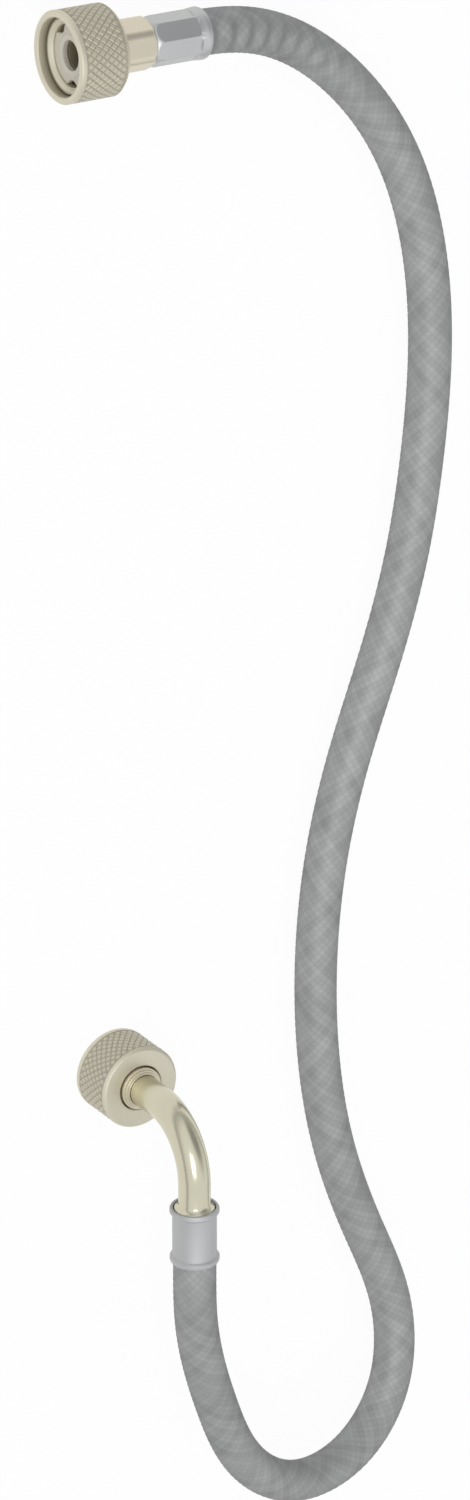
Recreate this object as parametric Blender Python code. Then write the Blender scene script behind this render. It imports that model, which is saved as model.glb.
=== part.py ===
"""A braided flexible water hose with a knurled union nut on each end.

The inlet end is straight: union nut, gasket, hexagonal nipple and a ferrule crimped with eight flats.
The outlet end is bent: union nut, gasket, seat collar, 90 degree elbow tube and a round ferrule with two beads.
The hose is a rubber liner in a sleeve of braided steel wire.

It lies as it comes to rest: the inlet nut on its side, the outlet nut standing on its open rim, and the hose
on the surface between them. The origin is on that surface, at the middle of the two fittings, with +Z up.
The inlet nut opens towards -X and the outlet nut towards -Z.
"""

import math

import bmesh
import bpy
import numpy as np
from mathutils import Matrix, Vector

MM = 0.001

# Clearance between pieces that touch on the real hose
SEAT_GAP = 0.3 * MM

# Two levels nearer than this are the same one
SAME_LEVEL = 0.001 * MM

# Union nuts, for a flat sealing G 1/2 connection
NUT_DIAMETER = 31.0 * MM
NUT_LENGTH = 18.8 * MM
NUT_RIM_CHAMFER = 0.4 * MM
NUT_LIP = 2.0 * MM  # plain band in front of the knurl
NUT_REAR_BAND = 1.2 * MM  # plain chamfered band behind the knurl
NUT_REAR_CHAMFER = 1.1 * MM
SKIRT_BORE = 24.0 * MM
SKIRT_DEPTH = 3.3 * MM
THREAD_ROOT_DIAMETER = 20.96 * MM
THREAD_CHAMFER = 0.7 * MM
NUT_REAR_WALL = 2.8 * MM
NUT_REAR_HOLE = 16.6 * MM
KNURL_COLUMNS = 60
KNURL_ROWS = 8
KNURL_DEPTH = 0.55 * MM

# Gaskets, and where they stand inside the nuts
GASKET_DIAMETER = 18.2 * MM
GASKET_HOLE = 10.0 * MM
GASKET_THICKNESS = 2.0 * MM
GASKET_RECESS = 4.8 * MM  # from the nut's rim to the gasket's face

# Seat flange and neck that hold the nut, the same on both ends
FLANGE_DIAMETER = 18.2 * MM
FLANGE_THICKNESS = 3.0 * MM
FLANGE_CHAMFER = 0.3 * MM
NECK_DIAMETER = 15.8 * MM
WATERWAY = 9.2 * MM

# Nipple of the inlet
HEX_ACROSS_FLATS = 16.5 * MM
HEX_LENGTH = 13.9 * MM
HEX_CHAMFER = 0.9 * MM
HEX_TURN = math.radians(-6)

# Barbed tail inside the hose, the same on both ends
SHANK_DIAMETER = 10.0 * MM
SHANK_LENGTH = 1.5 * MM
TAIL_ROOT_DIAMETER = 7.5 * MM
BARB_DIAMETER = 8.2 * MM
BARB_COUNT = 3
BARB_PITCH = 5.0 * MM
TAIL_LENGTH = 17.0 * MM
TAIL_BORE = 6.4 * MM
BORE_STEP = 2.0 * MM

# Ferrules
FERRULE_LENGTH = 21.4 * MM
FERRULE_INNER = 14.1 * MM
FERRULE_WALL_HOLE = 10.6 * MM
FERRULE_END_WALL = 1.2 * MM
FERRULE_LIP_DIAMETER = 17.7 * MM
FERRULE_LIP = 2.2 * MM
FERRULE_MOUTH = 16.0 * MM
FERRULE_FLARE = 2.9 * MM
FERRULE_EDGE = 0.6 * MM  # chamfer of a lip or bead
CRIMPED_DIAMETER = 17.2 * MM
CRIMPED_END_DIAMETER = 15.0 * MM
SHOULDER_DIAMETER = 16.6 * MM
SHOULDER_LENGTH = 1.4 * MM
CRIMP_ACROSS_FLATS = 16.0 * MM
CRIMP_FLATS = 8
CRIMP_START = 0.4 * MM
CRIMP_END = 17.2 * MM
CRIMP_TURN = math.radians(11.25)
ROUND_FERRULE_DIAMETER = 15.8 * MM
ROUND_FERRULE_RECESS = 2.0 * MM  # of its end wall inside the first bead
RECESS_DIAMETER = 13.8 * MM
RECESS_CHAMFER = 0.3 * MM

# Elbow tube and seat collar of the outlet
ELBOW_DIAMETER = 11.5 * MM
ELBOW_WALL = 1.0 * MM
ELBOW_BEND_RADIUS = 22.5 * MM
ELBOW_RISE = 35.4 * MM  # from the nut's rear face to the level of the horizontal leg
ELBOW_REACH = 33.3 * MM  # from the nut's axis to the end wall of the ferrule
ELBOW_SOCKET_DEPTH = 12.0 * MM
ELBOW_BEND_STEPS = 9
BEAD_DIAMETER = 12.6 * MM
BEAD_LENGTH = 0.6 * MM
COLLAR_STANDS_OUT = 0.8 * MM
COLLAR_STEP_DIAMETER = 14.6 * MM
COLLAR_STEP_RISE = 0.9 * MM
COLLAR_END_DIAMETER = 13.4 * MM
COLLAR_END_RISE = 0.7 * MM

# Hose
HOSE_DIAMETER = 15.4 * MM
BRAID_WALL = 0.6 * MM
LINER_WALL = 1.2 * MM
CRIMPED_HOSE_DIAMETER = 13.5 * MM
CRIMP_RUN_OUT = 3.0 * MM
HOSE_POINT_SPACING = 19.0 * MM
HOSE_BEVEL_RESOLUTION = 3

# Places of the two fittings
INLET_RIM_X = -27.35 * MM
INLET_AXIS_Y = 208.9 * MM
INLET_AXIS_Z = NUT_DIAMETER / 2
OUTLET_AXIS_X = -0.75 * MM
OUTLET_AXIS_Y = -171.7 * MM

# The route of the hose between the ferrules, in millimetres
ROUTE_MM = (
    (55, 204, 12.7),
    (89.5, 181.5, 9.2),
    (112, 151, 8),
    (123.5, 116.5, 7.8),
    (127, 76, 7.8),
    (124.5, 40, 7.8),
    (118.5, 3.5, 7.8),
    (107.5, -34, 7.8),
    (95, -68.5, 7.8),
    (85.5, -104.5, 7.8),
    (81, -144.5, 7.8),
    (82, -184, 7.8),
    (89.5, -226, 7.8),
    (103, -264, 7.8),
    (116, -303, 8.5),
    (111.5, -330.5, 13),
    (91.5, -348.5, 19.5),
    (62.5, -350, 25.5),
    (39.5, -334.5, 30.5),
    (18, -297.5, 39.5),
    (2, -250, 50.5),
)

TURNED_SIDES = 24
HEX_SIDES = 30
FERRULE_SIDES = 32
ELBOW_SIDES = 24
SMOOTH_ANGLE = math.radians(35)

# Levels along each fitting's axis, from the rim of its nut
FLANGE_FACE = GASKET_RECESS + GASKET_THICKNESS + SEAT_GAP
FLANGE_BACK = FLANGE_FACE + FLANGE_THICKNESS
HEX_FRONT = NUT_LENGTH + SEAT_GAP
HEX_BACK = HEX_FRONT + HEX_LENGTH
INLET_WALL_FRONT = HEX_BACK + SEAT_GAP
INLET_SHANK_END = HEX_BACK + SHANK_LENGTH
INLET_HOSE_START = INLET_WALL_FRONT + FERRULE_END_WALL + SEAT_GAP
INLET_MOUTH = INLET_WALL_FRONT + FERRULE_LENGTH
COLLAR_STEP = NUT_LENGTH + COLLAR_STANDS_OUT
COLLAR_END = COLLAR_STEP + COLLAR_STEP_RISE + COLLAR_END_RISE
ELBOW_FOOT = COLLAR_END - ELBOW_SOCKET_DEPTH + SEAT_GAP
OUTLET_LEVEL = NUT_LENGTH + ELBOW_RISE
OUTLET_HOSE_START = ELBOW_REACH + FERRULE_END_WALL + SEAT_GAP
OUTLET_MOUTH = ELBOW_REACH - ROUND_FERRULE_RECESS + FERRULE_LENGTH


def clear_scene():
    for obj in list(bpy.data.objects):
        bpy.data.objects.remove(obj)


def make_material(name, colour, metallic, roughness):
    material = bpy.data.materials.new(name)
    material.use_nodes = True
    shader = material.node_tree.nodes["Principled BSDF"]
    shader.inputs["Base Color"].default_value = (*colour, 1.0)
    shader.inputs["Metallic"].default_value = metallic
    shader.inputs["Roughness"].default_value = roughness
    return material


def make_axis(name, place, rotation):
    """An empty on a fitting's axis, whose Z runs from the nut's rim into the fitting."""
    axis = bpy.data.objects.new(name, None)
    axis.location = place
    axis.rotation_euler = rotation
    bpy.context.collection.objects.link(axis)
    return axis


def make_piece(name, shape, material, parent):
    """Turns a finished bmesh into an object on its fitting's axis."""
    bmesh.ops.recalc_face_normals(shape, faces=shape.faces[:])
    mesh = bpy.data.meshes.new(name)
    shape.to_mesh(mesh)
    shape.free()
    mesh.shade_smooth()
    mesh.set_sharp_from_angle(angle=SMOOTH_ANGLE)
    mesh.materials.append(material)
    piece = bpy.data.objects.new(name, mesh)
    piece.parent = parent
    bpy.context.collection.objects.link(piece)
    return piece


def turned(profile, sides):
    """Turns a closed profile of (distance along Z, radius) points all the way round the Z axis."""
    shape = bmesh.new()
    points = [shape.verts.new((radius, 0, along)) for along, radius in profile]
    edges = [shape.edges.new((a, b)) for a, b in zip(points, points[1:] + points[:1])]
    bmesh.ops.spin(
        shape,
        geom=points + edges,
        cent=(0, 0, 0),
        axis=(0, 0, 1),
        angle=2 * math.pi,
        steps=sides,
    )
    bmesh.ops.remove_doubles(shape, verts=shape.verts[:], dist=1e-6)
    return shape


def press_flats(shape, across_flats, count, turn, start, end):
    """Moves what stands outside a regular prism onto its flats, between two levels along Z."""
    half_angle = math.pi / count
    for vert in shape.verts:
        radius = math.hypot(vert.co.x, vert.co.y)
        if not start - SAME_LEVEL <= vert.co.z <= end + SAME_LEVEL:
            continue
        angle = math.atan2(vert.co.y, vert.co.x) - turn
        off_flat = (angle + half_angle) % (2 * half_angle) - half_angle
        limit = across_flats / 2 / math.cos(off_flat)
        if radius > limit:
            vert.co.x *= limit / radius
            vert.co.y *= limit / radius


def cut_knurl(shape, radius, start, end):
    """Lowers every other point of a turned band and folds its faces there, leaving rows of pointed diamonds."""
    row_height = (end - start) / KNURL_ROWS
    column_angle = 2 * math.pi / KNURL_COLUMNS
    lowered = set()
    for vert in shape.verts:
        row = (vert.co.z - start) / row_height
        outside = math.hypot(vert.co.x, vert.co.y) > radius - NUT_RIM_CHAMFER
        if not outside or not -0.01 < row < KNURL_ROWS + 0.01:
            continue
        column = round(math.atan2(vert.co.y, vert.co.x) / column_angle)
        if (round(row) + column) % 2:
            factor = 1 - KNURL_DEPTH / radius
            vert.co.x *= factor
            vert.co.y *= factor
            lowered.add(vert)
    for face in shape.faces[:]:
        low = [vert for vert in face.verts if vert in lowered]
        if len(face.verts) == 4 and len(low) == 2:
            if not shape.edges.get(low):
                bmesh.utils.face_split(face, low[0], low[1])


def nut_profile():
    radius = NUT_DIAMETER / 2
    thread = THREAD_ROOT_DIAMETER / 2
    skirt = SKIRT_BORE / 2
    hole = NUT_REAR_HOLE / 2
    knurl_start = NUT_LIP
    knurl_end = NUT_LENGTH - NUT_REAR_BAND
    rows = [
        (knurl_start + (knurl_end - knurl_start) * row / KNURL_ROWS, radius)
        for row in range(KNURL_ROWS + 1)
    ]
    return [
        (0, skirt + NUT_RIM_CHAMFER),
        (0, radius - NUT_RIM_CHAMFER),
        (NUT_RIM_CHAMFER, radius),
        *rows,
        (NUT_LENGTH, radius - NUT_REAR_CHAMFER),
        (NUT_LENGTH, hole),
        (NUT_LENGTH - NUT_REAR_WALL, hole),
        (NUT_LENGTH - NUT_REAR_WALL, thread),
        (SKIRT_DEPTH + THREAD_CHAMFER, thread),
        (SKIRT_DEPTH, thread + THREAD_CHAMFER),
        (SKIRT_DEPTH, skirt),
        (NUT_RIM_CHAMFER, skirt),
    ]


def make_union_nut(name, material, parent):
    shape = turned(nut_profile(), KNURL_COLUMNS)
    cut_knurl(shape, NUT_DIAMETER / 2, NUT_LIP, NUT_LENGTH - NUT_REAR_BAND)
    return make_piece(name, shape, material, parent)


def make_gasket(name, material, parent):
    profile = [
        (GASKET_RECESS, GASKET_HOLE / 2),
        (GASKET_RECESS, GASKET_DIAMETER / 2),
        (GASKET_RECESS + GASKET_THICKNESS, GASKET_DIAMETER / 2),
        (GASKET_RECESS + GASKET_THICKNESS, GASKET_HOLE / 2),
    ]
    return make_piece(name, turned(profile, TURNED_SIDES), material, parent)


def flange_profile():
    """The outside of the seat flange and the neck, up to where the neck leaves the nut."""
    return [
        (FLANGE_FACE, FLANGE_DIAMETER / 2 - FLANGE_CHAMFER),
        (FLANGE_FACE + FLANGE_CHAMFER, FLANGE_DIAMETER / 2),
        (FLANGE_BACK, FLANGE_DIAMETER / 2),
        (FLANGE_BACK, NECK_DIAMETER / 2),
    ]


def tail_profile(start):
    """The outside of the barbed tail, from the end of its shank to its tip."""
    root = TAIL_ROOT_DIAMETER / 2
    crest = BARB_DIAMETER / 2
    points = [(start, root)]
    for barb in range(BARB_COUNT):
        back = start + BARB_PITCH * (barb + 1) - BARB_PITCH / 4
        points += [(back, crest), (back + BARB_PITCH / 4, root)]
    points.append((start + TAIL_LENGTH, root))
    return points


def make_nipple(material, parent):
    hex_corner = HEX_ACROSS_FLATS / 2 / math.cos(math.pi / 6)
    hex_face = HEX_ACROSS_FLATS / 2 + HEX_CHAMFER / 4
    profile = [
        *flange_profile(),
        (HEX_FRONT, NECK_DIAMETER / 2),
        (HEX_FRONT, hex_face),
        (HEX_FRONT + HEX_CHAMFER, hex_corner),
        (HEX_BACK - HEX_CHAMFER, hex_corner),
        (HEX_BACK, hex_face),
        (HEX_BACK, SHANK_DIAMETER / 2),
        (INLET_SHANK_END, SHANK_DIAMETER / 2),
        *tail_profile(INLET_SHANK_END),
        (INLET_SHANK_END + TAIL_LENGTH, TAIL_BORE / 2),
        (HEX_BACK - BORE_STEP, TAIL_BORE / 2),
        (HEX_BACK - 2 * BORE_STEP, WATERWAY / 2),
        (FLANGE_FACE, WATERWAY / 2),
    ]
    shape = turned(profile, HEX_SIDES)
    press_flats(shape, HEX_ACROSS_FLATS, 6, HEX_TURN, HEX_FRONT, HEX_BACK)
    return make_piece("inlet_nipple", shape, material, parent)


def make_crimped_ferrule(material, parent):
    """Eight crimping jaws leave eight flats with round ends, and the mouth keeps its flared lip."""
    start = INLET_WALL_FRONT
    crimp_end = start + CRIMP_END
    body = CRIMPED_DIAMETER / 2
    lip = FERRULE_LIP_DIAMETER / 2
    profile = [
        (start, FERRULE_WALL_HOLE / 2),
        (start, CRIMPED_END_DIAMETER / 2),
        (start + FERRULE_EDGE, SHOULDER_DIAMETER / 2),
        (start + SHOULDER_LENGTH, SHOULDER_DIAMETER / 2),
        (start + 2 * SHOULDER_LENGTH, body),
        (crimp_end, body),
        (crimp_end + FERRULE_EDGE, body),
        (INLET_MOUTH - FERRULE_LIP, lip),
        (INLET_MOUTH - FERRULE_EDGE, lip),
        (INLET_MOUTH, lip - FERRULE_EDGE),
        (INLET_MOUTH, FERRULE_MOUTH / 2),
        (INLET_MOUTH - FERRULE_FLARE, FERRULE_INNER / 2),
        (start + FERRULE_END_WALL, FERRULE_INNER / 2),
        (start + FERRULE_END_WALL, FERRULE_WALL_HOLE / 2),
    ]
    shape = turned(profile, FERRULE_SIDES)
    press_flats(shape, CRIMP_ACROSS_FLATS, CRIMP_FLATS, CRIMP_TURN, start + CRIMP_START, crimp_end)
    return make_piece("inlet_ferrule", shape, material, parent)


def make_round_ferrule(material, parent):
    """A plain sleeve with a bead at each end. Its end wall is set back inside the first bead."""
    start = ELBOW_REACH - ROUND_FERRULE_RECESS
    wall = ELBOW_REACH
    body = ROUND_FERRULE_DIAMETER / 2
    lip = FERRULE_LIP_DIAMETER / 2
    profile = [
        (start, RECESS_DIAMETER / 2 + RECESS_CHAMFER),
        (start, lip - FERRULE_EDGE),
        (start + FERRULE_EDGE, lip),
        (start + FERRULE_LIP, lip),
        (start + FERRULE_LIP + FERRULE_EDGE, body),
        (OUTLET_MOUTH - FERRULE_LIP - FERRULE_EDGE, body),
        (OUTLET_MOUTH - FERRULE_LIP, lip),
        (OUTLET_MOUTH - FERRULE_EDGE, lip),
        (OUTLET_MOUTH, lip - FERRULE_EDGE),
        (OUTLET_MOUTH, FERRULE_MOUTH / 2),
        (OUTLET_MOUTH - FERRULE_FLARE, FERRULE_INNER / 2),
        (wall + FERRULE_END_WALL, FERRULE_INNER / 2),
        (wall + FERRULE_END_WALL, FERRULE_WALL_HOLE / 2),
        (wall, FERRULE_WALL_HOLE / 2),
        (wall, RECESS_DIAMETER / 2),
        (start + RECESS_CHAMFER, RECESS_DIAMETER / 2),
    ]
    return make_piece("outlet_ferrule", turned(profile, FERRULE_SIDES), material, parent)


def make_seat_collar(material, parent):
    """The turned collar on the elbow's end: seat for the gasket, neck that carries the nut, and stepped cone."""
    socket = ELBOW_DIAMETER / 2 + SEAT_GAP
    profile = [
        *flange_profile(),
        (COLLAR_STEP, NECK_DIAMETER / 2),
        (COLLAR_STEP, COLLAR_STEP_DIAMETER / 2),
        (COLLAR_STEP + COLLAR_STEP_RISE, COLLAR_STEP_DIAMETER / 2),
        (COLLAR_STEP + COLLAR_STEP_RISE, COLLAR_END_DIAMETER / 2),
        (COLLAR_END, COLLAR_END_DIAMETER / 2),
        (COLLAR_END, socket),
        (ELBOW_FOOT - SEAT_GAP, socket),
        (ELBOW_FOOT - SEAT_GAP, WATERWAY / 2),
        (FLANGE_FACE, WATERWAY / 2),
    ]
    return make_piece("outlet_collar", turned(profile, TURNED_SIDES), material, parent)


def elbow_path(distance):
    """The place and direction on the elbow's middle line, by the distance from its lower end."""
    rise = OUTLET_LEVEL - ELBOW_BEND_RADIUS - ELBOW_FOOT
    arc = ELBOW_BEND_RADIUS * math.pi / 2
    if distance <= rise:
        return Vector((0, 0, ELBOW_FOOT + distance)), 0.0
    if distance < rise + arc:
        angle = (distance - rise) / ELBOW_BEND_RADIUS
        y = -ELBOW_BEND_RADIUS * (1 - math.cos(angle))
        z = OUTLET_LEVEL - ELBOW_BEND_RADIUS * (1 - math.sin(angle))
        return Vector((0, y, z)), angle
    along = distance - rise - arc
    return Vector((0, -ELBOW_BEND_RADIUS - along, OUTLET_LEVEL)), math.pi / 2


def make_elbow(material, parent):
    """Rings of points along the bent middle line, up the outside and back down the bore, made into one wall."""
    rise = OUTLET_LEVEL - ELBOW_BEND_RADIUS - ELBOW_FOOT
    arc = ELBOW_BEND_RADIUS * math.pi / 2
    leg = rise + arc - ELBOW_BEND_RADIUS  # distance of a point on the horizontal leg, less its reach
    outer = ELBOW_DIAMETER / 2
    inner = outer - ELBOW_WALL
    bend = [rise + arc * step / ELBOW_BEND_STEPS for step in range(ELBOW_BEND_STEPS + 1)]
    shank = leg + ELBOW_REACH - SEAT_GAP
    shank_end = shank + FERRULE_END_WALL + SEAT_GAP
    tip = shank_end + TAIL_LENGTH
    stations = [(0, outer)]
    stations += [(distance, outer) for distance in bend]
    stations += [
        (shank - 2 * BEAD_LENGTH, outer),
        (shank - BEAD_LENGTH, BEAD_DIAMETER / 2),
        (shank, BEAD_DIAMETER / 2),
        (shank, SHANK_DIAMETER / 2),
        (shank_end, SHANK_DIAMETER / 2),
        *tail_profile(shank_end),
        (tip, TAIL_BORE / 2),
        (shank, TAIL_BORE / 2),
        (shank - BORE_STEP, inner),
    ]
    stations += [(distance, inner) for distance in reversed(bend)]
    stations.append((0, inner))
    shape = bmesh.new()
    rings = []
    for distance, radius in stations:
        place, angle = elbow_path(distance)
        turn = Matrix.Translation(place) @ Matrix.Rotation(angle, 4, "X")
        ring = []
        for side in range(ELBOW_SIDES):
            around = 2 * math.pi * side / ELBOW_SIDES
            point = Vector((radius * math.cos(around), radius * math.sin(around), 0))
            ring.append(shape.verts.new(turn @ point))
        rings.append(ring)
    for ring, following in zip(rings, rings[1:] + rings[:1]):
        for side in range(ELBOW_SIDES):
            after = (side + 1) % ELBOW_SIDES
            shape.faces.new((ring[side], ring[after], following[after], following[side]))
    return make_piece("outlet_elbow", shape, material, parent)


def smooth_curve(points, start_direction, end_direction):
    """Closely spaced points on the smooth cubic curve through the given points, with set end directions."""
    gaps = np.linalg.norm(np.diff(points, axis=0), axis=1)
    count = len(points)
    system = np.zeros((count, count))
    right = np.zeros((count, 3))
    system[0, 0] = system[-1, -1] = 1
    right[0], right[-1] = start_direction, end_direction
    for i in range(1, count - 1):
        before, after = gaps[i - 1], gaps[i]
        system[i, i - 1 : i + 2] = after, 2 * (before + after), before
        step_in = (points[i] - points[i - 1]) / before
        step_out = (points[i + 1] - points[i]) / after
        right[i] = 3 * (after * step_in + before * step_out)
    slopes = np.linalg.solve(system, right)
    t = np.linspace(0, 1, 40, endpoint=False)[:, None]
    pieces = []
    for i in range(count - 1):
        pieces.append(
            (2 * t**3 - 3 * t**2 + 1) * points[i]
            + (t**3 - 2 * t**2 + t) * gaps[i] * slopes[i]
            + (3 * t**2 - 2 * t**3) * points[i + 1]
            + (t**3 - t**2) * gaps[i] * slopes[i + 1]
        )
    return np.vstack([*pieces, points[-1:]])


def hose_line():
    """The hose's middle line, each point with 1 where the hose is free or 0 where a ferrule grips it."""
    inlet = np.array((INLET_RIM_X, INLET_AXIS_Y, INLET_AXIS_Z))
    outlet = np.array((OUTLET_AXIS_X, OUTLET_AXIS_Y, OUTLET_LEVEL))
    along_x, along_y = np.array((1.0, 0, 0)), np.array((0, 1.0, 0))
    free_start = inlet + along_x * INLET_MOUTH
    free_end = outlet - along_y * OUTLET_MOUTH
    route = np.vstack([free_start, np.array(ROUTE_MM) * MM, free_end])
    fine = smooth_curve(route, along_x, along_y)
    walked = np.concatenate([[0], np.cumsum(np.linalg.norm(np.diff(fine, axis=0), axis=1))])
    steps = round(walked[-1] / HOSE_POINT_SPACING)
    stops = np.linspace(0, walked[-1], steps + 1)
    free = np.stack([np.interp(stops, walked, fine[:, axis]) for axis in range(3)], axis=1)
    return [
        (inlet + along_x * INLET_HOSE_START, 0.0),
        (inlet + along_x * (INLET_MOUTH - CRIMP_RUN_OUT), 0.0),
        *[(point, 1.0) for point in free],
        (outlet - along_y * (OUTLET_MOUTH - CRIMP_RUN_OUT), 0.0),
        (outlet - along_y * OUTLET_HOSE_START, 0.0),
    ]


def make_hose_tube(name, diameter, crimped_diameter, wall, material):
    """An open tube along the hose's middle line, narrower where the ferrules grip it."""
    curve = bpy.data.curves.new(name, "CURVE")
    curve.dimensions = "3D"
    curve.bevel_depth = diameter / 2
    curve.bevel_resolution = HOSE_BEVEL_RESOLUTION
    curve.use_fill_caps = False
    curve.twist_mode = "MINIMUM"
    line = hose_line()
    spline = curve.splines.new("POLY")
    spline.points.add(len(line) - 1)
    for knot, (place, free) in zip(spline.points, line):
        knot.co = (*place, 1.0)
        knot.radius = free + (1 - free) * crimped_diameter / diameter
    curve.materials.append(material)
    tube = bpy.data.objects.new(name, curve)
    bpy.context.collection.objects.link(tube)
    thickness = tube.modifiers.new("wall", "SOLIDIFY")
    thickness.thickness = wall
    thickness.offset = -1
    return tube


def main():
    clear_scene()
    nickel = make_material("nickel_plate", (0.62, 0.59, 0.52), 1.0, 0.38)
    brass = make_material("brass", (0.62, 0.56, 0.42), 1.0, 0.25)
    steel = make_material("ferrule_steel", (0.55, 0.56, 0.57), 1.0, 0.35)
    wire = make_material("braided_wire", (0.42, 0.44, 0.43), 1.0, 0.45)
    fibre = make_material("fibre", (0.72, 0.69, 0.62), 0.0, 0.8)
    rubber = make_material("rubber", (0.03, 0.03, 0.03), 0.0, 0.7)

    inlet = make_axis(
        "inlet_axis",
        (INLET_RIM_X, INLET_AXIS_Y, INLET_AXIS_Z),
        (0, math.pi / 2, 0),
    )
    outlet = make_axis("outlet_axis", (OUTLET_AXIS_X, OUTLET_AXIS_Y, 0), (0, 0, 0))
    outlet_leg = make_axis(
        "outlet_leg_axis",
        (OUTLET_AXIS_X, OUTLET_AXIS_Y, OUTLET_LEVEL),
        (math.pi / 2, 0, 0),
    )

    make_union_nut("inlet_union_nut", nickel, inlet)
    make_gasket("inlet_gasket", fibre, inlet)
    make_nipple(brass, inlet)
    make_crimped_ferrule(steel, inlet)

    make_union_nut("outlet_union_nut", nickel, outlet)
    make_gasket("outlet_gasket", fibre, outlet)
    make_seat_collar(brass, outlet)
    make_elbow(brass, outlet)
    make_round_ferrule(steel, outlet_leg)

    liner_diameter = HOSE_DIAMETER - 2 * (BRAID_WALL + SEAT_GAP)
    crimped_liner = CRIMPED_HOSE_DIAMETER - 2 * (BRAID_WALL + SEAT_GAP)
    make_hose_tube(
        "braid_sleeve", HOSE_DIAMETER, CRIMPED_HOSE_DIAMETER, BRAID_WALL, wire
    )
    make_hose_tube("inner_tube", liner_diameter, crimped_liner, LINER_WALL, rubber)


if __name__ == "__main__":
    main()
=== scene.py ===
"""The looks of a braided flexible hose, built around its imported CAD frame.

Every finely turned, swept or woven piece here stands in the place of its CAD node. Lengths are in metres.
A fitting is shaped on its own axis: distances run along Z from the rim of its nut into the fitting.
"""

import math

import bmesh
import bpy
import numpy as np
from mathutils import Matrix, Vector


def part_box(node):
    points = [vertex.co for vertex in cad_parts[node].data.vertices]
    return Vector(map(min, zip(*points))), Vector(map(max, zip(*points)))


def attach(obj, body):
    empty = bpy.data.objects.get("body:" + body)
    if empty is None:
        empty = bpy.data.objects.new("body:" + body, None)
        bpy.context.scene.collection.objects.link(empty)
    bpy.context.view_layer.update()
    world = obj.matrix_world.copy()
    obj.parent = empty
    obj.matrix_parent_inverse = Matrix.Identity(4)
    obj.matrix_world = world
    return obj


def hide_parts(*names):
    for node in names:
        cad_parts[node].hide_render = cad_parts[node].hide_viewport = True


bl_info = {
    "name": "Braided Flexible Hose",
    "version": (1, 0, 0),
    "blender": (4, 5, 0),
    "location": "View3D > Sidebar > Hose",
    "description": "Builds a braided flexible hose with knurled union nuts around its CAD frame",
    "category": "Object",
}

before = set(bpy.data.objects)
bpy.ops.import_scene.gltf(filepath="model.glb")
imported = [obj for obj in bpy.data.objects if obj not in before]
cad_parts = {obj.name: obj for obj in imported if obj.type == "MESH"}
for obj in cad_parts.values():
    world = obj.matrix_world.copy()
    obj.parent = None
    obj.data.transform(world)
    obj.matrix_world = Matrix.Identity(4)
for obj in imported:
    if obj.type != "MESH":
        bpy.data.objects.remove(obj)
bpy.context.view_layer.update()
MM = 0.001

# Camera of the photograph, whose frame is 470 by 1500
CAMERA_PLACE = (-0.89675, 0.7007, 1.4745)
CAMERA_RIGHT = (0.8412, 0.0, 0.5407)
CAMERA_UP = (0.2153, 0.9173, -0.3349)
CAMERA_BACK = (-0.4960, 0.3981, 0.7716)
CAMERA_LENS = 129.6
SENSOR_LONG_SIDE = 36.0

# The key light, the floor, and the studio's sky with one dark screen in it
KEY_PLACE = (-0.65, 0.0, 1.45)
KEY_TARGET = (0, -0.05, 0)
KEY_WIDTH = 0.7
KEY_DEPTH = 0.5
KEY_POWER = 4.5
FLOOR_HALF_WIDTH = 6.0
FLOOR_GAP = 0.1 * MM
FLOOR_COLOUR = (0.85, 0.85, 0.85, 1)
FLOOR_WHITE_SHARE = 0.95
SKY_COLOUR = (0.97, 0.98, 1.0, 1)
SKY_AT_HORIZON = 0.5
SKY_FULL_HEIGHT = 0.45
SCREEN_DIRECTION = (0.52, 0.6, 0.6)
SCREEN_SHAPE = (1.6, 0.9, 1.6)  # how fast the screen ends along each axis
SCREEN_EDGE = (0.3, 0.95)  # where its soft edge begins and ends
SCREEN_SHADE = 0.38

# Pieces that touch on the real hose stand this far apart
SEAT_GAP = 0.3 * MM

# Union nuts
NUT_LENGTH = 18.8 * MM
NUT_LIP = 2.0 * MM
NUT_REAR_BAND = 1.2 * MM
NUT_REAR_CHAMFER = 1.1 * MM
NUT_REAR_WALL = 2.8 * MM
NUT_REAR_HOLE = 16.6 * MM
NUT_REAR_HOLE_EASE = 0.4 * MM
NUT_EDGE = 0.5 * MM
SKIRT_BORE = 26.2 * MM
SKIRT_DEPTH = 3.3 * MM
LEDGE_GROOVE = 0.5 * MM
THREAD_ROOT = 20.96 * MM
THREAD_CREST = 18.63 * MM
THREAD_MOUTH = 23.4 * MM
THREAD_MOUTH_END = 4.5 * MM
THREAD_CHAMFER = 0.7 * MM
THREAD_START = 7.6 * MM
THREAD_STEPS = 48.0  # points along one turn
THREAD_FADE = 0.04  # share of its length over which the ridge rises at each end

# Widths of the thread's ridge in pitches, and how far pieces of the knurl and thread are sunk in the nut
RIDGE_FOOT = 0.96
RIDGE_CREST = 0.56
RIDGE_ROWS = 4
CREST_ROWS_WITHIN = 0.3  # share of the grid's width that the rows on the crest lie within
RIDGE_SINK = 0.05 * MM
DIAMOND_SINK = 0.03 * MM
DIAMOND_TOP = 0.6  # of the diamond's width at its foot
KNURL_RAMP = 0.6  # length of the slope at each end of the band, in depths of the knurl

# Gaskets, seat flanges and necks
GASKET_DIAMETER = 20.8 * MM
GASKET_HOLE = 10.2 * MM
GASKET_THICKNESS = 2.0 * MM
GASKET_RIB_DIAMETER = 14.0 * MM
GASKET_RIB = 0.2 * MM
GASKET_NOTCHES = (math.radians(-38), math.radians(176))
GASKET_NOTCH_DEPTH = 2.2 * MM
GASKET_NOTCH_HALF_ANGLE = math.radians(16)
GASKET_NOTCH_BAND = 0.5 * MM  # width of the rim that the notches draw in
GASKET_EASE = 0.2 * MM
GASKET_RECESS = 4.8 * MM
FLANGE_DIAMETER = 18.2 * MM
FLANGE_THICKNESS = 3.0 * MM
NECK_DIAMETER = 15.8 * MM
WATERWAY = 9.2 * MM

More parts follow.
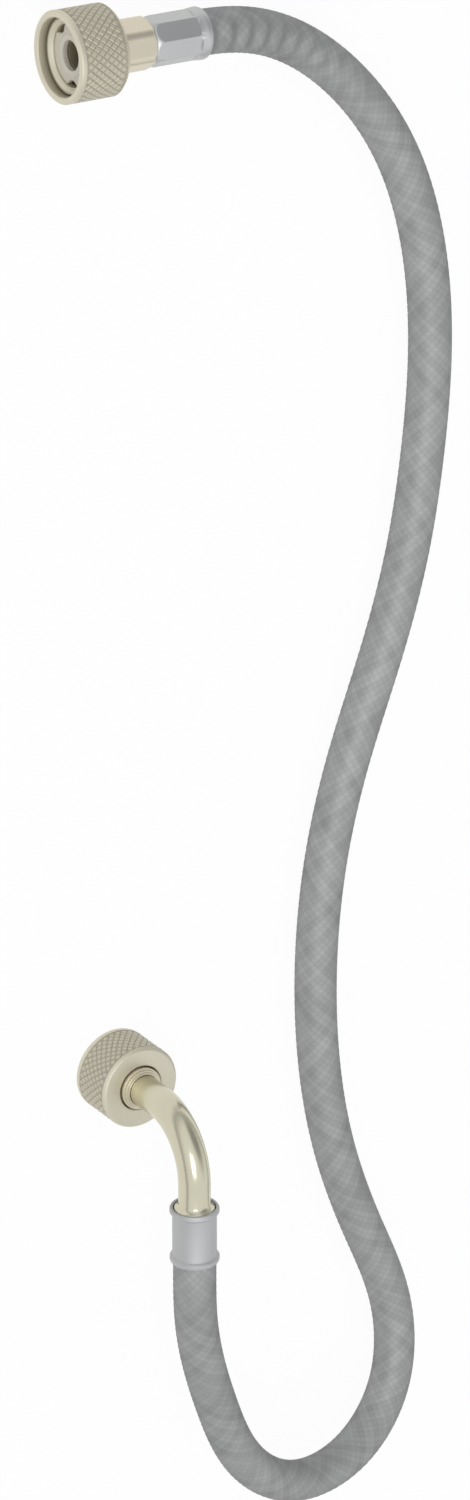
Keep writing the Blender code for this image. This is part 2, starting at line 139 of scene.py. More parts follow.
# Nipple and barbed tails
HEX_FLATS = 6
HEX_ACROSS_FLATS = 16.5 * MM
HEX_LENGTH = 13.9 * MM
HEX_CHAMFER = 0.9 * MM
HEX_TURN = math.radians(-6)
HEX_ROUNDING = 3.3 * MM
HEX_SIDES = 180
SHANK_DIAMETER = 10.0 * MM
SHANK_LENGTH = 1.5 * MM
TAIL_DIAMETER = 7.8 * MM
TAIL_LENGTH = 17.0 * MM
TAIL_BORE = 6.4 * MM
BORE_STEP = 2.0 * MM

# Ferrules
FERRULE_LENGTH = 21.4 * MM
FERRULE_INNER = 14.1 * MM
FERRULE_WALL_HOLE = 10.6 * MM
FERRULE_END_WALL = 1.2 * MM
FERRULE_LIP_DIAMETER = 17.7 * MM
FERRULE_LIP = 2.2 * MM
FERRULE_MOUTH = 16.0 * MM
FERRULE_FLARE = 2.9 * MM
CRIMPED_DIAMETER = 17.2 * MM
CRIMPED_END_DIAMETER = 15.0 * MM
CRIMP_ACROSS_FLATS = 16.0 * MM
CRIMP_FLATS = 8
CRIMP_SHOULDER = 2.8 * MM
CRIMP_END = 17.2 * MM
CRIMP_TURN = math.radians(11.25)
CRIMP_ROUNDING = 0.7 * MM
CRIMP_PRESS_START = 0.2 * MM  # from the end wall's face
CRIMP_PRESS_PAST = 0.1 * MM  # beyond the end of the crimp
CRIMP_RUN_ON = 0.3 * MM  # of the round body behind the flats
CRIMP_RINGS = 12
SHOULDER_RINGS = 8
SHOULDER_POWER = 0.7  # below 1 makes the shoulder fuller
FERRULE_SIDES = 128
ROUND_DIAMETER = 15.8 * MM
ROUND_RECESS = 2.0 * MM
RECESS_DIAMETER = 15.2 * MM
RECESS_CHAMFER = 0.3 * MM

# Rounded edges of the ferrules, as steps in millimetres along the axis and outwards
LIP_FOOT_MM = ((0.0, -0.1), (0.4, 0.0))
LIP_EDGE_MM = ((-0.7, 0.0), (-0.2, -0.2), (0.0, -0.5))
MOUTH_EDGE_MM = ((0.0, 0.1), (-0.2, -0.1))
BEAD_START_MM = ((0.0, -0.7), (0.2, -0.25), (0.7, 0.0))
BEAD_SIDE_MM = ((-0.4, 0.0), (0.0, -0.25))
BEAD_FOOT_MM = ((0.4, 0.15), (0.9, 0.0))
BEAD_END_MM = ((-0.7, 0.0), (-0.2, -0.25), (0.0, -0.6))

# Bent tube and stepped collar
ELBOW_DIAMETER = 11.5 * MM
ELBOW_WALL = 1.0 * MM
ELBOW_BEND_RADIUS = 22.5 * MM
ELBOW_RISE = 35.4 * MM
ELBOW_REACH = 33.3 * MM
ELBOW_SOCKET_DEPTH = 12.0 * MM
BEAD_DIAMETER = 14.8 * MM
BEAD_LENGTH = 1.5 * MM
BEAD_FLARE = 1.8 * MM
BEAD_FLARE_STEPS = ((1.0, 0.0), (0.6, 0.12), (0.3, 0.38), (0.1, 0.75))  # length left, share risen
BEAD_SHOULDER_MM = ((0.1, -0.1), (0.4, 0.0))
TUBE_SIDES = 48
TUBE_BEND_STEPS = 28
COLLAR_STANDS_OUT = 0.8 * MM
COLLAR_STEP_DIAMETER = 14.6 * MM
COLLAR_STEP_RISE = 0.9 * MM
COLLAR_END_DIAMETER = 13.4 * MM
COLLAR_END_RISE = 0.7 * MM
COLLAR_EASE = 0.25 * MM
BRAZE_GAP = 0.05 * MM  # between the tube and the ring of braze in the collar
BRAZE_DEPTH = 0.6 * MM
BRAZE_SLOPE = 0.3 * MM

# Hose
CRIMPED_HOSE_DIAMETER = 13.5 * MM
CRIMP_RUN_OUT = 3.0 * MM
RIPPLE_DEPTH = 0.38 * MM
RIPPLE_SPACING = 7.2 * MM
FIRST_RIPPLE = 21.4 * MM
RIPPLE_START = 40 * MM  # where the ripples begin to fade
RIPPLE_END = 100 * MM
RIPPLE_SIDE = (0.0, -0.05, 1.0)
RIPPLE_FOCUS = 3.0  # how closely the ripples keep to that side
PATH_SPACING = 1.6 * MM
CURVE_STEPS = 40
POINTS_PER_STRAND = 3
MEAN_CROWN = 0.6  # height of the braid that counts as the hose's own radius
SHEET_EDGE = 0.49999  # rings beyond this close the ends of the sleeve

# The route of the hose between its ferrules, in millimetres, the same as in the part's source
ROUTE_MM = (
    (55, 204, 12.7),
    (89.5, 181.5, 9.2),
    (112, 151, 8),
    (123.5, 116.5, 7.8),
    (127, 76, 7.8),
    (124.5, 40, 7.8),
    (118.5, 3.5, 7.8),
    (107.5, -34, 7.8),
    (95, -68.5, 7.8),
    (85.5, -104.5, 7.8),
    (81, -144.5, 7.8),
    (82, -184, 7.8),
    (89.5, -226, 7.8),
    (103, -264, 7.8),
    (116, -303, 8.5),
    (111.5, -330.5, 13),
    (91.5, -348.5, 19.5),
    (62.5, -350, 25.5),
    (39.5, -334.5, 30.5),
    (18, -297.5, 39.5),
    (2, -250, 50.5),
)

# Levels along each fitting's axis, from the rim of its nut
FLANGE_FACE = GASKET_RECESS + GASKET_THICKNESS + SEAT_GAP
FLANGE_BACK = FLANGE_FACE + FLANGE_THICKNESS
HEX_FRONT = NUT_LENGTH + SEAT_GAP
HEX_BACK = HEX_FRONT + HEX_LENGTH
INLET_WALL_FRONT = HEX_BACK + SEAT_GAP
INLET_HOSE_START = INLET_WALL_FRONT + FERRULE_END_WALL + SEAT_GAP
INLET_MOUTH = INLET_WALL_FRONT + FERRULE_LENGTH
COLLAR_STEP = NUT_LENGTH + COLLAR_STANDS_OUT
COLLAR_END = COLLAR_STEP + COLLAR_STEP_RISE + COLLAR_END_RISE
ELBOW_FOOT = COLLAR_END - ELBOW_SOCKET_DEPTH + SEAT_GAP
OUTLET_LEVEL = NUT_LENGTH + ELBOW_RISE
OUTLET_HOSE_START = ELBOW_REACH + FERRULE_END_WALL + SEAT_GAP
OUTLET_MOUTH = ELBOW_REACH - ROUND_RECESS + FERRULE_LENGTH
TUBE_RISE = OUTLET_LEVEL - ELBOW_BEND_RADIUS - ELBOW_FOOT
TUBE_ARC = ELBOW_BEND_RADIUS * math.pi / 2

# Finish of the turned metals
NICKEL_ROUGHNESS = 0.56
NIPPLE_ROUGHNESS = 0.36
COLLAR_ROUGHNESS = 0.46
TUBE_ROUGHNESS = 0.2
CRIMPED_ROUGHNESS = 0.42
BEADED_ROUGHNESS = 0.62
TURN_MARKS = 0.3
FERRULE_MARKS = 0.2
TURNING_PITCH = 0.35 * MM
STAIN_SCALE = 90.0  # noise cells in a metre, here and below
STAIN_SHADE = 0.88
STAIN_ROUGHNESS = 0.05
GRAIN_SCALE = 2600.0
GRAIN_ROUGHNESS = 0.04

# Painted shade in the fittings' hollows: its dark brown colour, and the most that it darkens of each place
PAINTED_SHADE = (0.14, 0.112, 0.062)
BORE_EDGE = 0.25 * MM
BORE_SHADE_SHARE = 0.85
GROOVE_SHADE_SHARE = 0.48
CREST_SHADE_SHARE = 0.2
SKIRT_SHADE_SHARE = 0.95

# Finish of the gaskets and of the braid's wires, with the painted shade in the braid's gaps, at its
# crossings and in its ripples
FLECK_SCALE = 1500.0
FLECK_SHADE = 0.8
FIBRE_ROUGHNESS = 0.75
PATCH_SCALE = 60.0
PATCH_TONE = 0.62
STRAND_TONE = 0.19
PAINTED_GAP_SHADE = 0.61
PAINTED_WIRE_LIGHT = 0.15
PAINTED_CROWN_LIGHT = 0.24
RIPPLE_PAINTED_SHADE = 0.9
WIRE_DARK = 0.6
WIRE_LIGHT = 1.4
WIRE_ROUGHNESS = (0.48, 0.62)
WIRE_METALLIC = 0.55
WIRE_TINT = (0.1, 0.1, 0.1, 1.0)

# How closely the surfaces are made
TURNED_SIDES = 96
SPIN_WELD = 0.001 * MM
SLEEVE_WELD = 0.01 * MM
SMOOTH_ANGLE = math.radians(30)
EDGE_EASE = 0.12 * MM
LONGEST_EASE = 0.4  # share of an edge that rounding may take at each end


def nut_axis(node, axis):
    """The rim's place on the axis of a CAD nut, and the nut's radius."""
    low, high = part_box(node)
    place = (low + high) / 2
    place[axis] = low[axis]
    across = (axis + 1) % 3
    return place, (high[across] - low[across]) / 2


INLET_RIM, NUT_RADIUS = nut_axis("inlet_union_nut", 0)
OUTLET_RIM, _ = nut_axis("outlet_union_nut", 2)
INLET = Matrix.Translation(INLET_RIM) @ Matrix.Rotation(math.pi / 2, 4, "Y")
OUTLET = Matrix.Translation(OUTLET_RIM)
LEG_START = OUTLET_RIM + Vector((0, 0, OUTLET_LEVEL))
OUTLET_LEG = Matrix.Translation(LEG_START) @ Matrix.Rotation(math.pi / 2, 4, "X")


class HoseSizes(bpy.types.PropertyGroup):
    """The sizes that a user would change"""

    hose_diameter: bpy.props.FloatProperty(
        name="Hose diameter",
        description="Outside diameter over the braid",
        default=15.4 * MM,
        precision=4,
        unit="LENGTH",
    )
    strands: bpy.props.IntProperty(
        name="Strands",
        description="Strands of wire that run round the hose each way",
        default=16,
        min=8,
    )
    wires: bpy.props.IntProperty(
        name="Wires",
        description="Wires side by side in each strand",
        default=7,
        min=3,
    )
    relief: bpy.props.FloatProperty(
        name="Braid relief",
        description="How far a strand stands up where it crosses over another",
        default=0.16 * MM,
        precision=5,
        unit="LENGTH",
    )
    knurl_columns: bpy.props.IntProperty(
        name="Knurl columns",
        description="Diamonds round a union nut",
        default=36,
        min=12,
    )
    knurl_rows: bpy.props.IntProperty(
        name="Knurl rows",
        description="Whole diamonds from the front of a nut's knurl to its back",
        default=5,
        min=2,
    )
    knurl_depth: bpy.props.FloatProperty(
        name="Knurl depth",
        description="Height of the diamonds",
        default=0.32 * MM,
        precision=5,
        unit="LENGTH",
    )
    thread_pitch: bpy.props.FloatProperty(
        name="Thread pitch",
        description="Advance of the union nut's thread in one turn",
        default=1.814 * MM,
        precision=5,
        unit="LENGTH",
    )


class HoseColours(bpy.types.PropertyGroup):
    """The colours of the hose's finishes"""

    nickel: bpy.props.FloatVectorProperty(
        name="Nickel plate",
        description="Satin plate on the union nuts",
        default=(0.75, 0.71, 0.58),
        subtype="COLOR",
    )
    brass: bpy.props.FloatVectorProperty(
        name="Brass",
        description="Pale brass of the nipple and the collar",
        default=(0.74, 0.68, 0.54),
        subtype="COLOR",
    )
    tube: bpy.props.FloatVectorProperty(
        name="Bent tube",
        description="Bright plate on the bent tube",
        default=(0.67, 0.64, 0.49),
        subtype="COLOR",
    )
    steel: bpy.props.FloatVectorProperty(
        name="Ferrule steel",
        description="Drawn steel of the ferrules",
        default=(0.575, 0.58, 0.58),
        subtype="COLOR",
    )
    wire: bpy.props.FloatVectorProperty(
        name="Braid wire",
        description="Steel wire of the braid",
        default=(0.385, 0.39, 0.385),
        subtype="COLOR",
    )
    fibre: bpy.props.FloatVectorProperty(
        name="Gasket fibre",
        description="Compressed fibre of the gaskets",
        default=(0.70, 0.66, 0.56),
        subtype="COLOR",
    )


def set_inputs(tree, target, inputs):
    """Links each input of a node, given by its name or its number, to a socket, or sets it to a value."""
    open_inputs = [socket for socket in target.inputs if socket.enabled]
    for key, value in inputs.items():
        if isinstance(key, int):
            socket = open_inputs[key]
        else:
            socket = next(socket for socket in open_inputs if socket.name == key)
        if isinstance(value, bpy.types.NodeSocket):
            tree.links.new(value, socket)
        else:
            socket.default_value = value


def node(tree, kind, inputs=None, **settings):
    """A new node with its settings and its inputs."""
    made = tree.nodes.new(kind)
    for setting, value in settings.items():
        setattr(made, setting, value)
    set_inputs(tree, made, inputs or {})
    return made


def result(tree, kind, inputs=None, **settings):
    """The first output that a new node has in use."""
    made = node(tree, kind, inputs, **settings)
    return next(socket for socket in made.outputs if socket.enabled)


def calc(tree, operation, *values):
    """The result of a Math node."""
    return result(tree, "ShaderNodeMath", dict(enumerate(values)), operation=operation)


def product(tree, first, *others):
    """All the values multiplied."""
    for other in others:
        first = calc(tree, "MULTIPLY", first, other)
    return first


def vector_calc(tree, operation, *values):
    """The result of a Vector Math node."""
    return result(tree, "ShaderNodeVectorMath", dict(enumerate(values)), operation=operation)


def combined(tree, *values):
    """A vector put together from its X, Y and Z."""
    return result(tree, "ShaderNodeCombineXYZ", dict(enumerate(values)))


def mapped(tree, value, start, end, low, high, **settings):
    """Goes from low to high as a value goes from start to end, and stays there beyond them."""
    inputs = {"Value": value, "From Min": start, "From Max": end, "To Min": low, "To Max": high}
    return result(tree, "ShaderNodeMapRange", inputs, **settings)


def between(tree, value, low, high):
    """1 where a value lies between two limits, and 0 elsewhere."""
    above = calc(tree, "GREATER_THAN", value, low)
    return product(tree, above, calc(tree, "LESS_THAN", value, high))


def empty_tree(owner):
    """The node tree of a new material or world, with nothing in it."""
    owner.use_nodes = True
    owner.node_tree.nodes.clear()
    return owner.node_tree


def new_material(name):
    """An empty node material with its shader joined to the output."""
    material = bpy.data.materials.new(name)
    tree = empty_tree(material)
    shader = node(tree, "ShaderNodeBsdfPrincipled")
    node(tree, "ShaderNodeOutputMaterial", {"Surface": shader.outputs[0]})
    return material, tree, shader


def object_place(tree):
    """The place of a point in its object's own space."""
    return node(tree, "ShaderNodeTexCoord").outputs["Object"]


def noise_value(tree, place, scale, detail):
    """Noise between 0 and 1 at a place."""
    return result(tree, "ShaderNodeTexNoise", {"Vector": place, "Scale": scale, "Detail": detail})


def blended(tree, factor, first, second):
    """Two colours mixed by a factor, each of them a plain colour or a socket."""
    first, second = (c if isinstance(c, bpy.types.NodeSocket) else (*c, 1) for c in (first, second))
    return result(tree, "ShaderNodeMix", {"Factor": factor, "A": first, "B": second}, data_type="RGBA")


def shade(colour, factor):
    """A plain colour made darker or lighter."""
    return tuple(value * factor for value in colour)


def bumped(tree, height, strength, distance):
    """The normal over small heights of the surface."""
    return result(tree, "ShaderNodeBump", {"Strength": strength, "Distance": distance, "Height": height})


def from_axis(tree, place, matrix):
    """How far a point lies along a fitting's axis from the rim of its nut, and how far from that axis."""
    axis = tuple(matrix.to_3x3() @ Vector((0, 0, 1)))
    offset = vector_calc(tree, "SUBTRACT", place, tuple(matrix.to_translation()))
    along = vector_calc(tree, "DOT_PRODUCT", offset, axis)
    outwards = vector_calc(tree, "SUBTRACT", offset, vector_calc(tree, "SCALE", axis, along))
    return along, vector_calc(tree, "LENGTH", outwards)


def painted_nut_shade(tree, along, away, knurl_depth):
    """The share of a nut darkened by painted shade, in its thread, its knurled band (most at the foot of the
    grooves) and its skirt's foot.
    """
    base = NUT_RADIUS - knurl_depth
    thread = THREAD_ROOT / 2
    places = (
        (
            mapped(tree, away, thread - BORE_EDGE, thread, BORE_SHADE_SHARE, 0.0),
            (THREAD_MOUTH_END, NUT_LENGTH - NUT_REAR_WALL),
            (0.0, thread),
        ),
        (
            mapped(tree, away, base, NUT_RADIUS, GROOVE_SHADE_SHARE, CREST_SHADE_SHARE),
            (NUT_LIP, NUT_LENGTH - NUT_REAR_BAND),
            (base - LEDGE_GROOVE, 2 * NUT_RADIUS),
        ),
        (
            mapped(tree, along, SKIRT_DEPTH, 0.0, SKIRT_SHADE_SHARE, 0.0),
            (NUT_EDGE, SKIRT_DEPTH + LEDGE_GROOVE),
            (SKIRT_BORE / 2 - LEDGE_GROOVE, base - LEDGE_GROOVE),
        ),
    )
    total = 0.0
    for share, levels, radii in places:
        inside = product(tree, between(tree, along, *levels), between(tree, away, *radii))
        total = calc(tree, "MULTIPLY_ADD", share, inside, total)
    return total


def painted_bore_shade(tree, along, away, bore):
    """The share of a fitting darkened by painted shade: its bore, and all of it that stands inside its nut.
    """
    in_bore = calc(tree, "LESS_THAN", away, bore + BORE_EDGE)
    in_nut = calc(tree, "LESS_THAN", along, NUT_LENGTH)
    return product(tree, calc(tree, "MAXIMUM", in_bore, in_nut), BORE_SHADE_SHARE)


def turned_metal(name, colour, roughness, matrix, turn_marks, bore=0.0, knurl_depth=0.0):
    """A metal with faint turning marks round a fitting's axis, a fine grain, slight stains and, where it has
    a bore or a knurl, painted shade in its hollows.
    """
    material, tree, shader = new_material(name)
    place = object_place(tree)
    along, away = from_axis(tree, place, matrix)
    stains = noise_value(tree, place, STAIN_SCALE, detail=3.0)
    grain = noise_value(tree, place, GRAIN_SCALE, detail=2.0)
    paint = blended(tree, stains, shade(colour, STAIN_SHADE), colour)
    metallic = 1.0
    # Painted shade: the hollows are mixed towards a dark brown and made less metallic
    if bore or knurl_depth:
        if knurl_depth:
            shaded = painted_nut_shade(tree, along, away, knurl_depth)
        else:
            shaded = painted_bore_shade(tree, along, away, bore)
        paint = blended(tree, shaded, paint, PAINTED_SHADE)
        metallic = calc(tree, "SUBTRACT", 1.0, shaded)
    satin = mapped(tree, grain, 0.0, 1.0, roughness - GRAIN_ROUGHNESS, roughness + GRAIN_ROUGHNESS)
    dulled = mapped(tree, stains, 0.0, 1.0, -STAIN_ROUGHNESS, STAIN_ROUGHNESS)
    rings = calc(tree, "SINE", product(tree, calc(tree, "ADD", along, away), math.tau / TURNING_PITCH))
    height = calc(tree, "MULTIPLY_ADD", rings, turn_marks, grain)
    inputs = {
        "Base Color": paint,
        "Metallic": metallic,
        "Roughness": calc(tree, "ADD", dulled, satin),
        "Normal": bumped(tree, height, strength=0.25, distance=0.02 * MM),
    }
    set_inputs(tree, shader, inputs)
    return material


def fibre_material(name, colour):
    """Pressed fibre with fine flecks."""
    material, tree, shader = new_material(name + "_fibre")
    flecks = noise_value(tree, object_place(tree), FLECK_SCALE, detail=4.0)
    inputs = {
        "Base Color": blended(tree, flecks, shade(colour, FLECK_SHADE), colour),
        "Roughness": FIBRE_ROUGHNESS,
        "Normal": bumped(tree, flecks, strength=0.3, distance=0.05 * MM),
    }
    set_inputs(tree, shader, inputs)
    return material


def crown_height(tree, first, second):
    """How high the braid stands: 1 in the middle of a crossing and 0 along the edges of its strands."""
    waves = [calc(tree, "SINE", product(tree, winding, math.pi)) for winding in (first, second)]
    return calc(tree, "ABSOLUTE", product(tree, *waves))


def braid_material(colour, strands, wires):
    """Wires that lie side by side along whichever strand is on top, with painted shade in the gaps between
    them, at the strands' edges and in the ripples' dips.
    """
    material, tree, shader = new_material("braided_wire")
    weave = node(tree, "ShaderNodeAttribute", attribute_name="weave").outputs["Vector"]
    parts = node(tree, "ShaderNodeSeparateXYZ", {"Vector": weave}).outputs
    first, second = parts["X"], parts["Y"]
    strand_numbers = [calc(tree, "FLOOR", winding) for winding in (first, second)]
    first_on_top = calc(tree, "FLOORED_MODULO", calc(tree, "ADD", *strand_numbers), 2.0)
    second_on_top = calc(tree, "SUBTRACT", 1.0, first_on_top)
    across = calc(tree, "ADD", product(tree, first, first_on_top), product(tree, second, second_on_top))
    round_wire = calc(tree, "ABSOLUTE", calc(tree, "SINE", product(tree, across, math.pi * wires)))
    strand_tones = []
    for strand in strand_numbers:
        wrapped = calc(tree, "FLOORED_MODULO", strand, float(strands))
        strand_tones.append(result(tree, "ShaderNodeTexWhiteNoise", {"W": wrapped}, noise_dimensions="1D"))
    patches = noise_value(tree, object_place(tree), PATCH_SCALE, detail=5.0)
    patch_tone = product(tree, patches, PATCH_TONE)
    tone = calc(tree, "MULTIPLY_ADD", calc(tree, "ADD", *strand_tones), STRAND_TONE, patch_tone)
    # Painted shade of the braid's relief: lighter on each wire's round top and on the crowns of the
    # crossings, darker in the gaps between wires and at the strands' edges
    painted_wire_shade = calc(tree, "MULTIPLY_ADD", round_wire, PAINTED_WIRE_LIGHT, PAINTED_GAP_SHADE)
    relief = calc(tree, "MULTIPLY_ADD", crown_height(tree, first, second), PAINTED_CROWN_LIGHT, painted_wire_shade)
    # Painted shade in the dips of the ripples, whose depth the weave's Z carries
    ripple_shade = calc(tree, "SUBTRACT", 1.0, product(tree, parts["Z"], RIPPLE_PAINTED_SHADE))
    lit = product(tree, tone, relief, ripple_shade)
    inputs = {
        "Base Color": blended(tree, lit, shade(colour, WIRE_DARK), shade(colour, WIRE_LIGHT)),
        "Roughness": mapped(tree, patches, 0.0, 1.0, *WIRE_ROUGHNESS),
        "Normal": bumped(tree, round_wire, strength=0.3, distance=0.06 * MM),
        "Metallic": WIRE_METALLIC,
        "Specular Tint": WIRE_TINT,
    }
    set_inputs(tree, shader, inputs)
    return material


def stepped(level, radius, steps_mm, way=1):
    """Points of a section that stand a few steps, in millimetres, from a level and a radius."""
    return [(level + way * along * MM, radius + outwards * MM) for along, outwards in steps_mm]


def eased(profile, ease=EDGE_EASE):
    """The closed profile with each of its corners rounded a little."""
    rounded = []
    for before, corner, after in zip(profile[-1:] + profile[:-1], profile, profile[1:] + profile[:1]):
        corner = Vector(corner)
        arms = []
        for neighbour in (before, after):
            arm = Vector(neighbour) - corner
            arms.append(corner + arm * min(LONGEST_EASE, ease / arm.length))
        rounded += [arms[0], (arms[0] + 2 * corner + arms[1]) / 4, arms[1]]
    return [tuple(point) for point in rounded]


def turned(profile, sides=TURNED_SIDES):
    """Turns a closed profile of (distance along Z, radius) points all the way round the Z axis."""
    shape = bmesh.new()
    points = [shape.verts.new((radius, 0, along)) for along, radius in profile]
    edges = [shape.edges.new(pair) for pair in zip(points, points[1:] + points[:1])]
    bmesh.ops.spin(
        shape,
        geom=points + edges,
        cent=(0, 0, 0),
        axis=(0, 0, 1),
        angle=2 * math.pi,
        steps=sides,
    )
    bmesh.ops.remove_doubles(shape, verts=shape.verts[:], dist=SPIN_WELD)
    bmesh.ops.recalc_face_normals(shape, faces=shape.faces[:])
    return shape


def press_flats(shape, across_flats, count, turn, start, end, rounding):
    """Presses what stands outside a regular prism onto its flats, which meet in rounded edges."""
    half_angle = math.pi / count
    flat = across_flats / 2
    centre = (flat - rounding) / math.cos(half_angle)
    flat_ends = math.atan((flat - rounding) * math.tan(half_angle) / flat)
    for vert in shape.verts:
        if not start <= vert.co.z <= end:
            continue
        radius = math.hypot(vert.co.x, vert.co.y)
        angle = math.atan2(vert.co.y, vert.co.x) - turn
        off_flat = abs((angle + half_angle) % (2 * half_angle) - half_angle)
        from_edge = half_angle - off_flat
        if off_flat <= flat_ends:
            limit = flat / math.cos(off_flat)
        else:
            limit = centre * math.cos(from_edge)
            limit += math.sqrt(rounding**2 - (centre * math.sin(from_edge)) ** 2)
        if radius > limit:
            vert.co.x *= limit / radius
            vert.co.y *= limit / radius


def add_object(name, mesh, matrix):
    """Adds a finished mesh as an object at the origin, with its place in its mesh."""
    mesh.name = name
    mesh.transform(matrix)
    mesh.shade_smooth()
    mesh.set_sharp_from_angle(angle=SMOOTH_ANGLE)
    piece = bpy.data.objects.new(name, mesh)
    bpy.context.scene.collection.objects.link(piece)
    return piece


def as_object(name, shape, matrix):
    """Turns a finished bmesh into an object at the origin."""
    mesh = bpy.data.meshes.new(name)
    shape.to_mesh(mesh)
    shape.free()
    return add_object(name, mesh, matrix)


def finish_piece(piece, material, slot, body, *nodes):
    """Gives a piece its material, the body that it rides on and the nodes that it replaces; its slot is not
    used.
    """
    if not piece.data.materials:
        piece.data.materials.append(material)
    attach(piece, body)
    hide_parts(*nodes)
    return piece


def new_tree(name, counts, lengths):
    """A geometry node tree with its named counts and lengths, and the sockets that give its inputs."""
    tree = bpy.data.node_groups.new(name, "GeometryNodeTree")
    for kind, labels in (
        ("NodeSocketGeometry", ("Geometry",)),
        ("NodeSocketInt", counts),
        ("NodeSocketFloat", lengths),
        ("NodeSocketMaterial", ("Material",)),
    ):
        for label in labels:
            tree.interface.new_socket(label, in_out="INPUT", socket_type=kind)
    tree.interface.new_socket("Geometry", in_out="OUTPUT", socket_type="NodeSocketGeometry")
    return tree, node(tree, "NodeGroupInput").outputs


def end_tree(tree, given, geometry):
    """Makes the result real, gives it its material and joins it to the tree's output."""
    real = result(tree, "GeometryNodeRealizeInstances", {"Geometry": geometry})
    coated = result(tree, "GeometryNodeSetMaterial", {"Geometry": real, "Material": given["Material"]})
    node(tree, "NodeGroupOutput", {"Geometry": coated})
    return tree


def grown(source, tree, values, name, matrix):
    """Runs a tree on an object and keeps the result as a plain mesh in the object's place."""
    modifier = source.modifiers.new(tree.name, "NODES")
    modifier.node_group = tree
    for item in tree.interface.items_tree:
        if item.in_out == "INPUT" and item.name in values:
            modifier[item.identifier] = values[item.name]
    graph = bpy.context.evaluated_depsgraph_get()
    mesh = bpy.data.meshes.new_from_object(source.evaluated_get(graph), depsgraph=graph)
    source.modifiers.remove(modifier)
    bpy.data.objects.remove(source)
    return add_object(name, mesh, matrix)


def on_circle(tree, angle, radius, height):
    """A place at an angle round the Z axis, at a radius from it and at a height along it."""
    x = product(tree, calc(tree, "COSINE", angle), radius)
    y = product(tree, calc(tree, "SINE", angle), radius)
    return combined(tree, x, y, height)


def unit_grid(tree, columns, rows):
    """A grid of points from -0.5 to 0.5 both ways, and the X and Y of a point on it."""
    inputs = {"Size X": 1.0, "Size Y": 1.0, "Vertices X": columns, "Vertices Y": rows}
    grid = result(tree, "GeometryNodeMeshGrid", inputs)
    parts = node(tree, "ShaderNodeSeparateXYZ", {"Vector": result(tree, "GeometryNodeInputPosition")})
    return grid, parts.outputs["X"], parts.outputs["Y"]


def knurl_and_thread_tree():
    """Diamonds in staggered rings round a nut's band, and the thread in its bore."""
    band = ("Band start", "Band length", "Band radius", "Depth")
    thread = ("Pitch", "Thread start", "Thread length", "Root radius", "Crest radius")
    tree, given = new_tree("Knurl and thread", ("Columns", "Rows"), band + thread)
    columns, rows, radius = given["Columns"], given["Rows"], given["Band radius"]
    rings = calc(tree, "SUBTRACT", product(tree, rows, 2.0), 1.0)
    points = result(tree, "GeometryNodePoints", {"Count": product(tree, columns, rings)})
    index = result(tree, "GeometryNodeInputIndex")
    ring = calc(tree, "FLOOR", calc(tree, "DIVIDE", calc(tree, "ADD", index, 0.5), columns))
    step = calc(tree, "MULTIPLY_ADD", calc(tree, "FLOORED_MODULO", ring, 2.0), 0.5, index)
    angle = calc(tree, "DIVIDE", product(tree, step, math.tau), columns)
    half_height = calc(tree, "DIVIDE", given["Band length"], product(tree, rows, 2.0))
    half_width = calc(tree, "DIVIDE", product(tree, radius, math.pi), columns)
    height = calc(tree, "MULTIPLY_ADD", calc(tree, "ADD", ring, 1.0), half_height, given["Band start"])
    place = on_circle(tree, angle, radius, height)
    facing = combined(tree, 0.0, math.pi / 2, angle)
    diamond = {"Vertices": 4, "Radius Top": DIAMOND_TOP, "Radius Bottom": 1.0, "Depth": 1.0}
    inputs = {
        "Points": result(tree, "GeometryNodeSetPosition", {"Geometry": points, "Position": place}),
        "Instance": result(tree, "GeometryNodeMeshCone", diamond),
        "Rotation": result(tree, "FunctionNodeEulerToRotation", {"Euler": facing}),
        "Scale": combined(tree, half_height, half_width, given["Depth"]),
    }
    diamonds = result(tree, "GeometryNodeInstanceOnPoints", inputs)
    join = node(tree, "GeometryNodeJoinGeometry")
    for geometry in (thread_ridge(tree, given), diamonds, given["Geometry"]):
        tree.links.new(geometry, join.inputs[0])
    return end_tree(tree, given, join.outputs[0])


def thread_ridge(tree, given):
    """A ridge with sloping flanks that winds along the bore and fades out at both of its ends."""
    root, pitch, length = given["Root radius"], given["Pitch"], given["Thread length"]
    turns = calc(tree, "DIVIDE", length, pitch)
    steps = calc(tree, "ROUND", product(tree, turns, THREAD_STEPS))
    grid, x, y = unit_grid(tree, steps, RIDGE_ROWS)
    along = calc(tree, "ADD", x, 0.5)
    angle = product(tree, along, turns, math.tau)
    on_crest = calc(tree, "LESS_THAN", calc(tree, "ABSOLUTE", y), CREST_ROWS_WITHIN)
    from_end = calc(tree, "MINIMUM", along, calc(tree, "SUBTRACT", 1.0, along))
    fade = mapped(tree, from_end, 0.0, THREAD_FADE, 0.0, 1.0)
    ridge = product(tree, calc(tree, "SUBTRACT", root, given["Crest radius"]), fade)
    sunk = calc(tree, "ADD", root, RIDGE_SINK)
    radius = calc(tree, "SUBTRACT", sunk, product(tree, on_crest, ridge))
    width = calc(tree, "MULTIPLY_ADD", on_crest, RIDGE_CREST - RIDGE_FOOT, RIDGE_FOOT)
    level = calc(tree, "MULTIPLY_ADD", along, length, given["Thread start"])
    level = calc(tree, "ADD", level, product(tree, y, width, pitch))
    place = on_circle(tree, angle, radius, level)
    return result(tree, "GeometryNodeSetPosition", {"Geometry": grid, "Position": place})


def sampled(tree, line, attribute, distance):
    """The place and direction of a line at a distance along it, and the value of an attribute there."""
    value = result(tree, "GeometryNodeInputNamedAttribute", {"Name": attribute}, data_type="FLOAT")
    inputs = {"Curves": line, "Value": value, "Length": distance}
    sample = node(tree, "GeometryNodeSampleCurve", inputs, mode="LENGTH", data_type="FLOAT")
    return {socket.name: socket for socket in sample.outputs if socket.enabled}


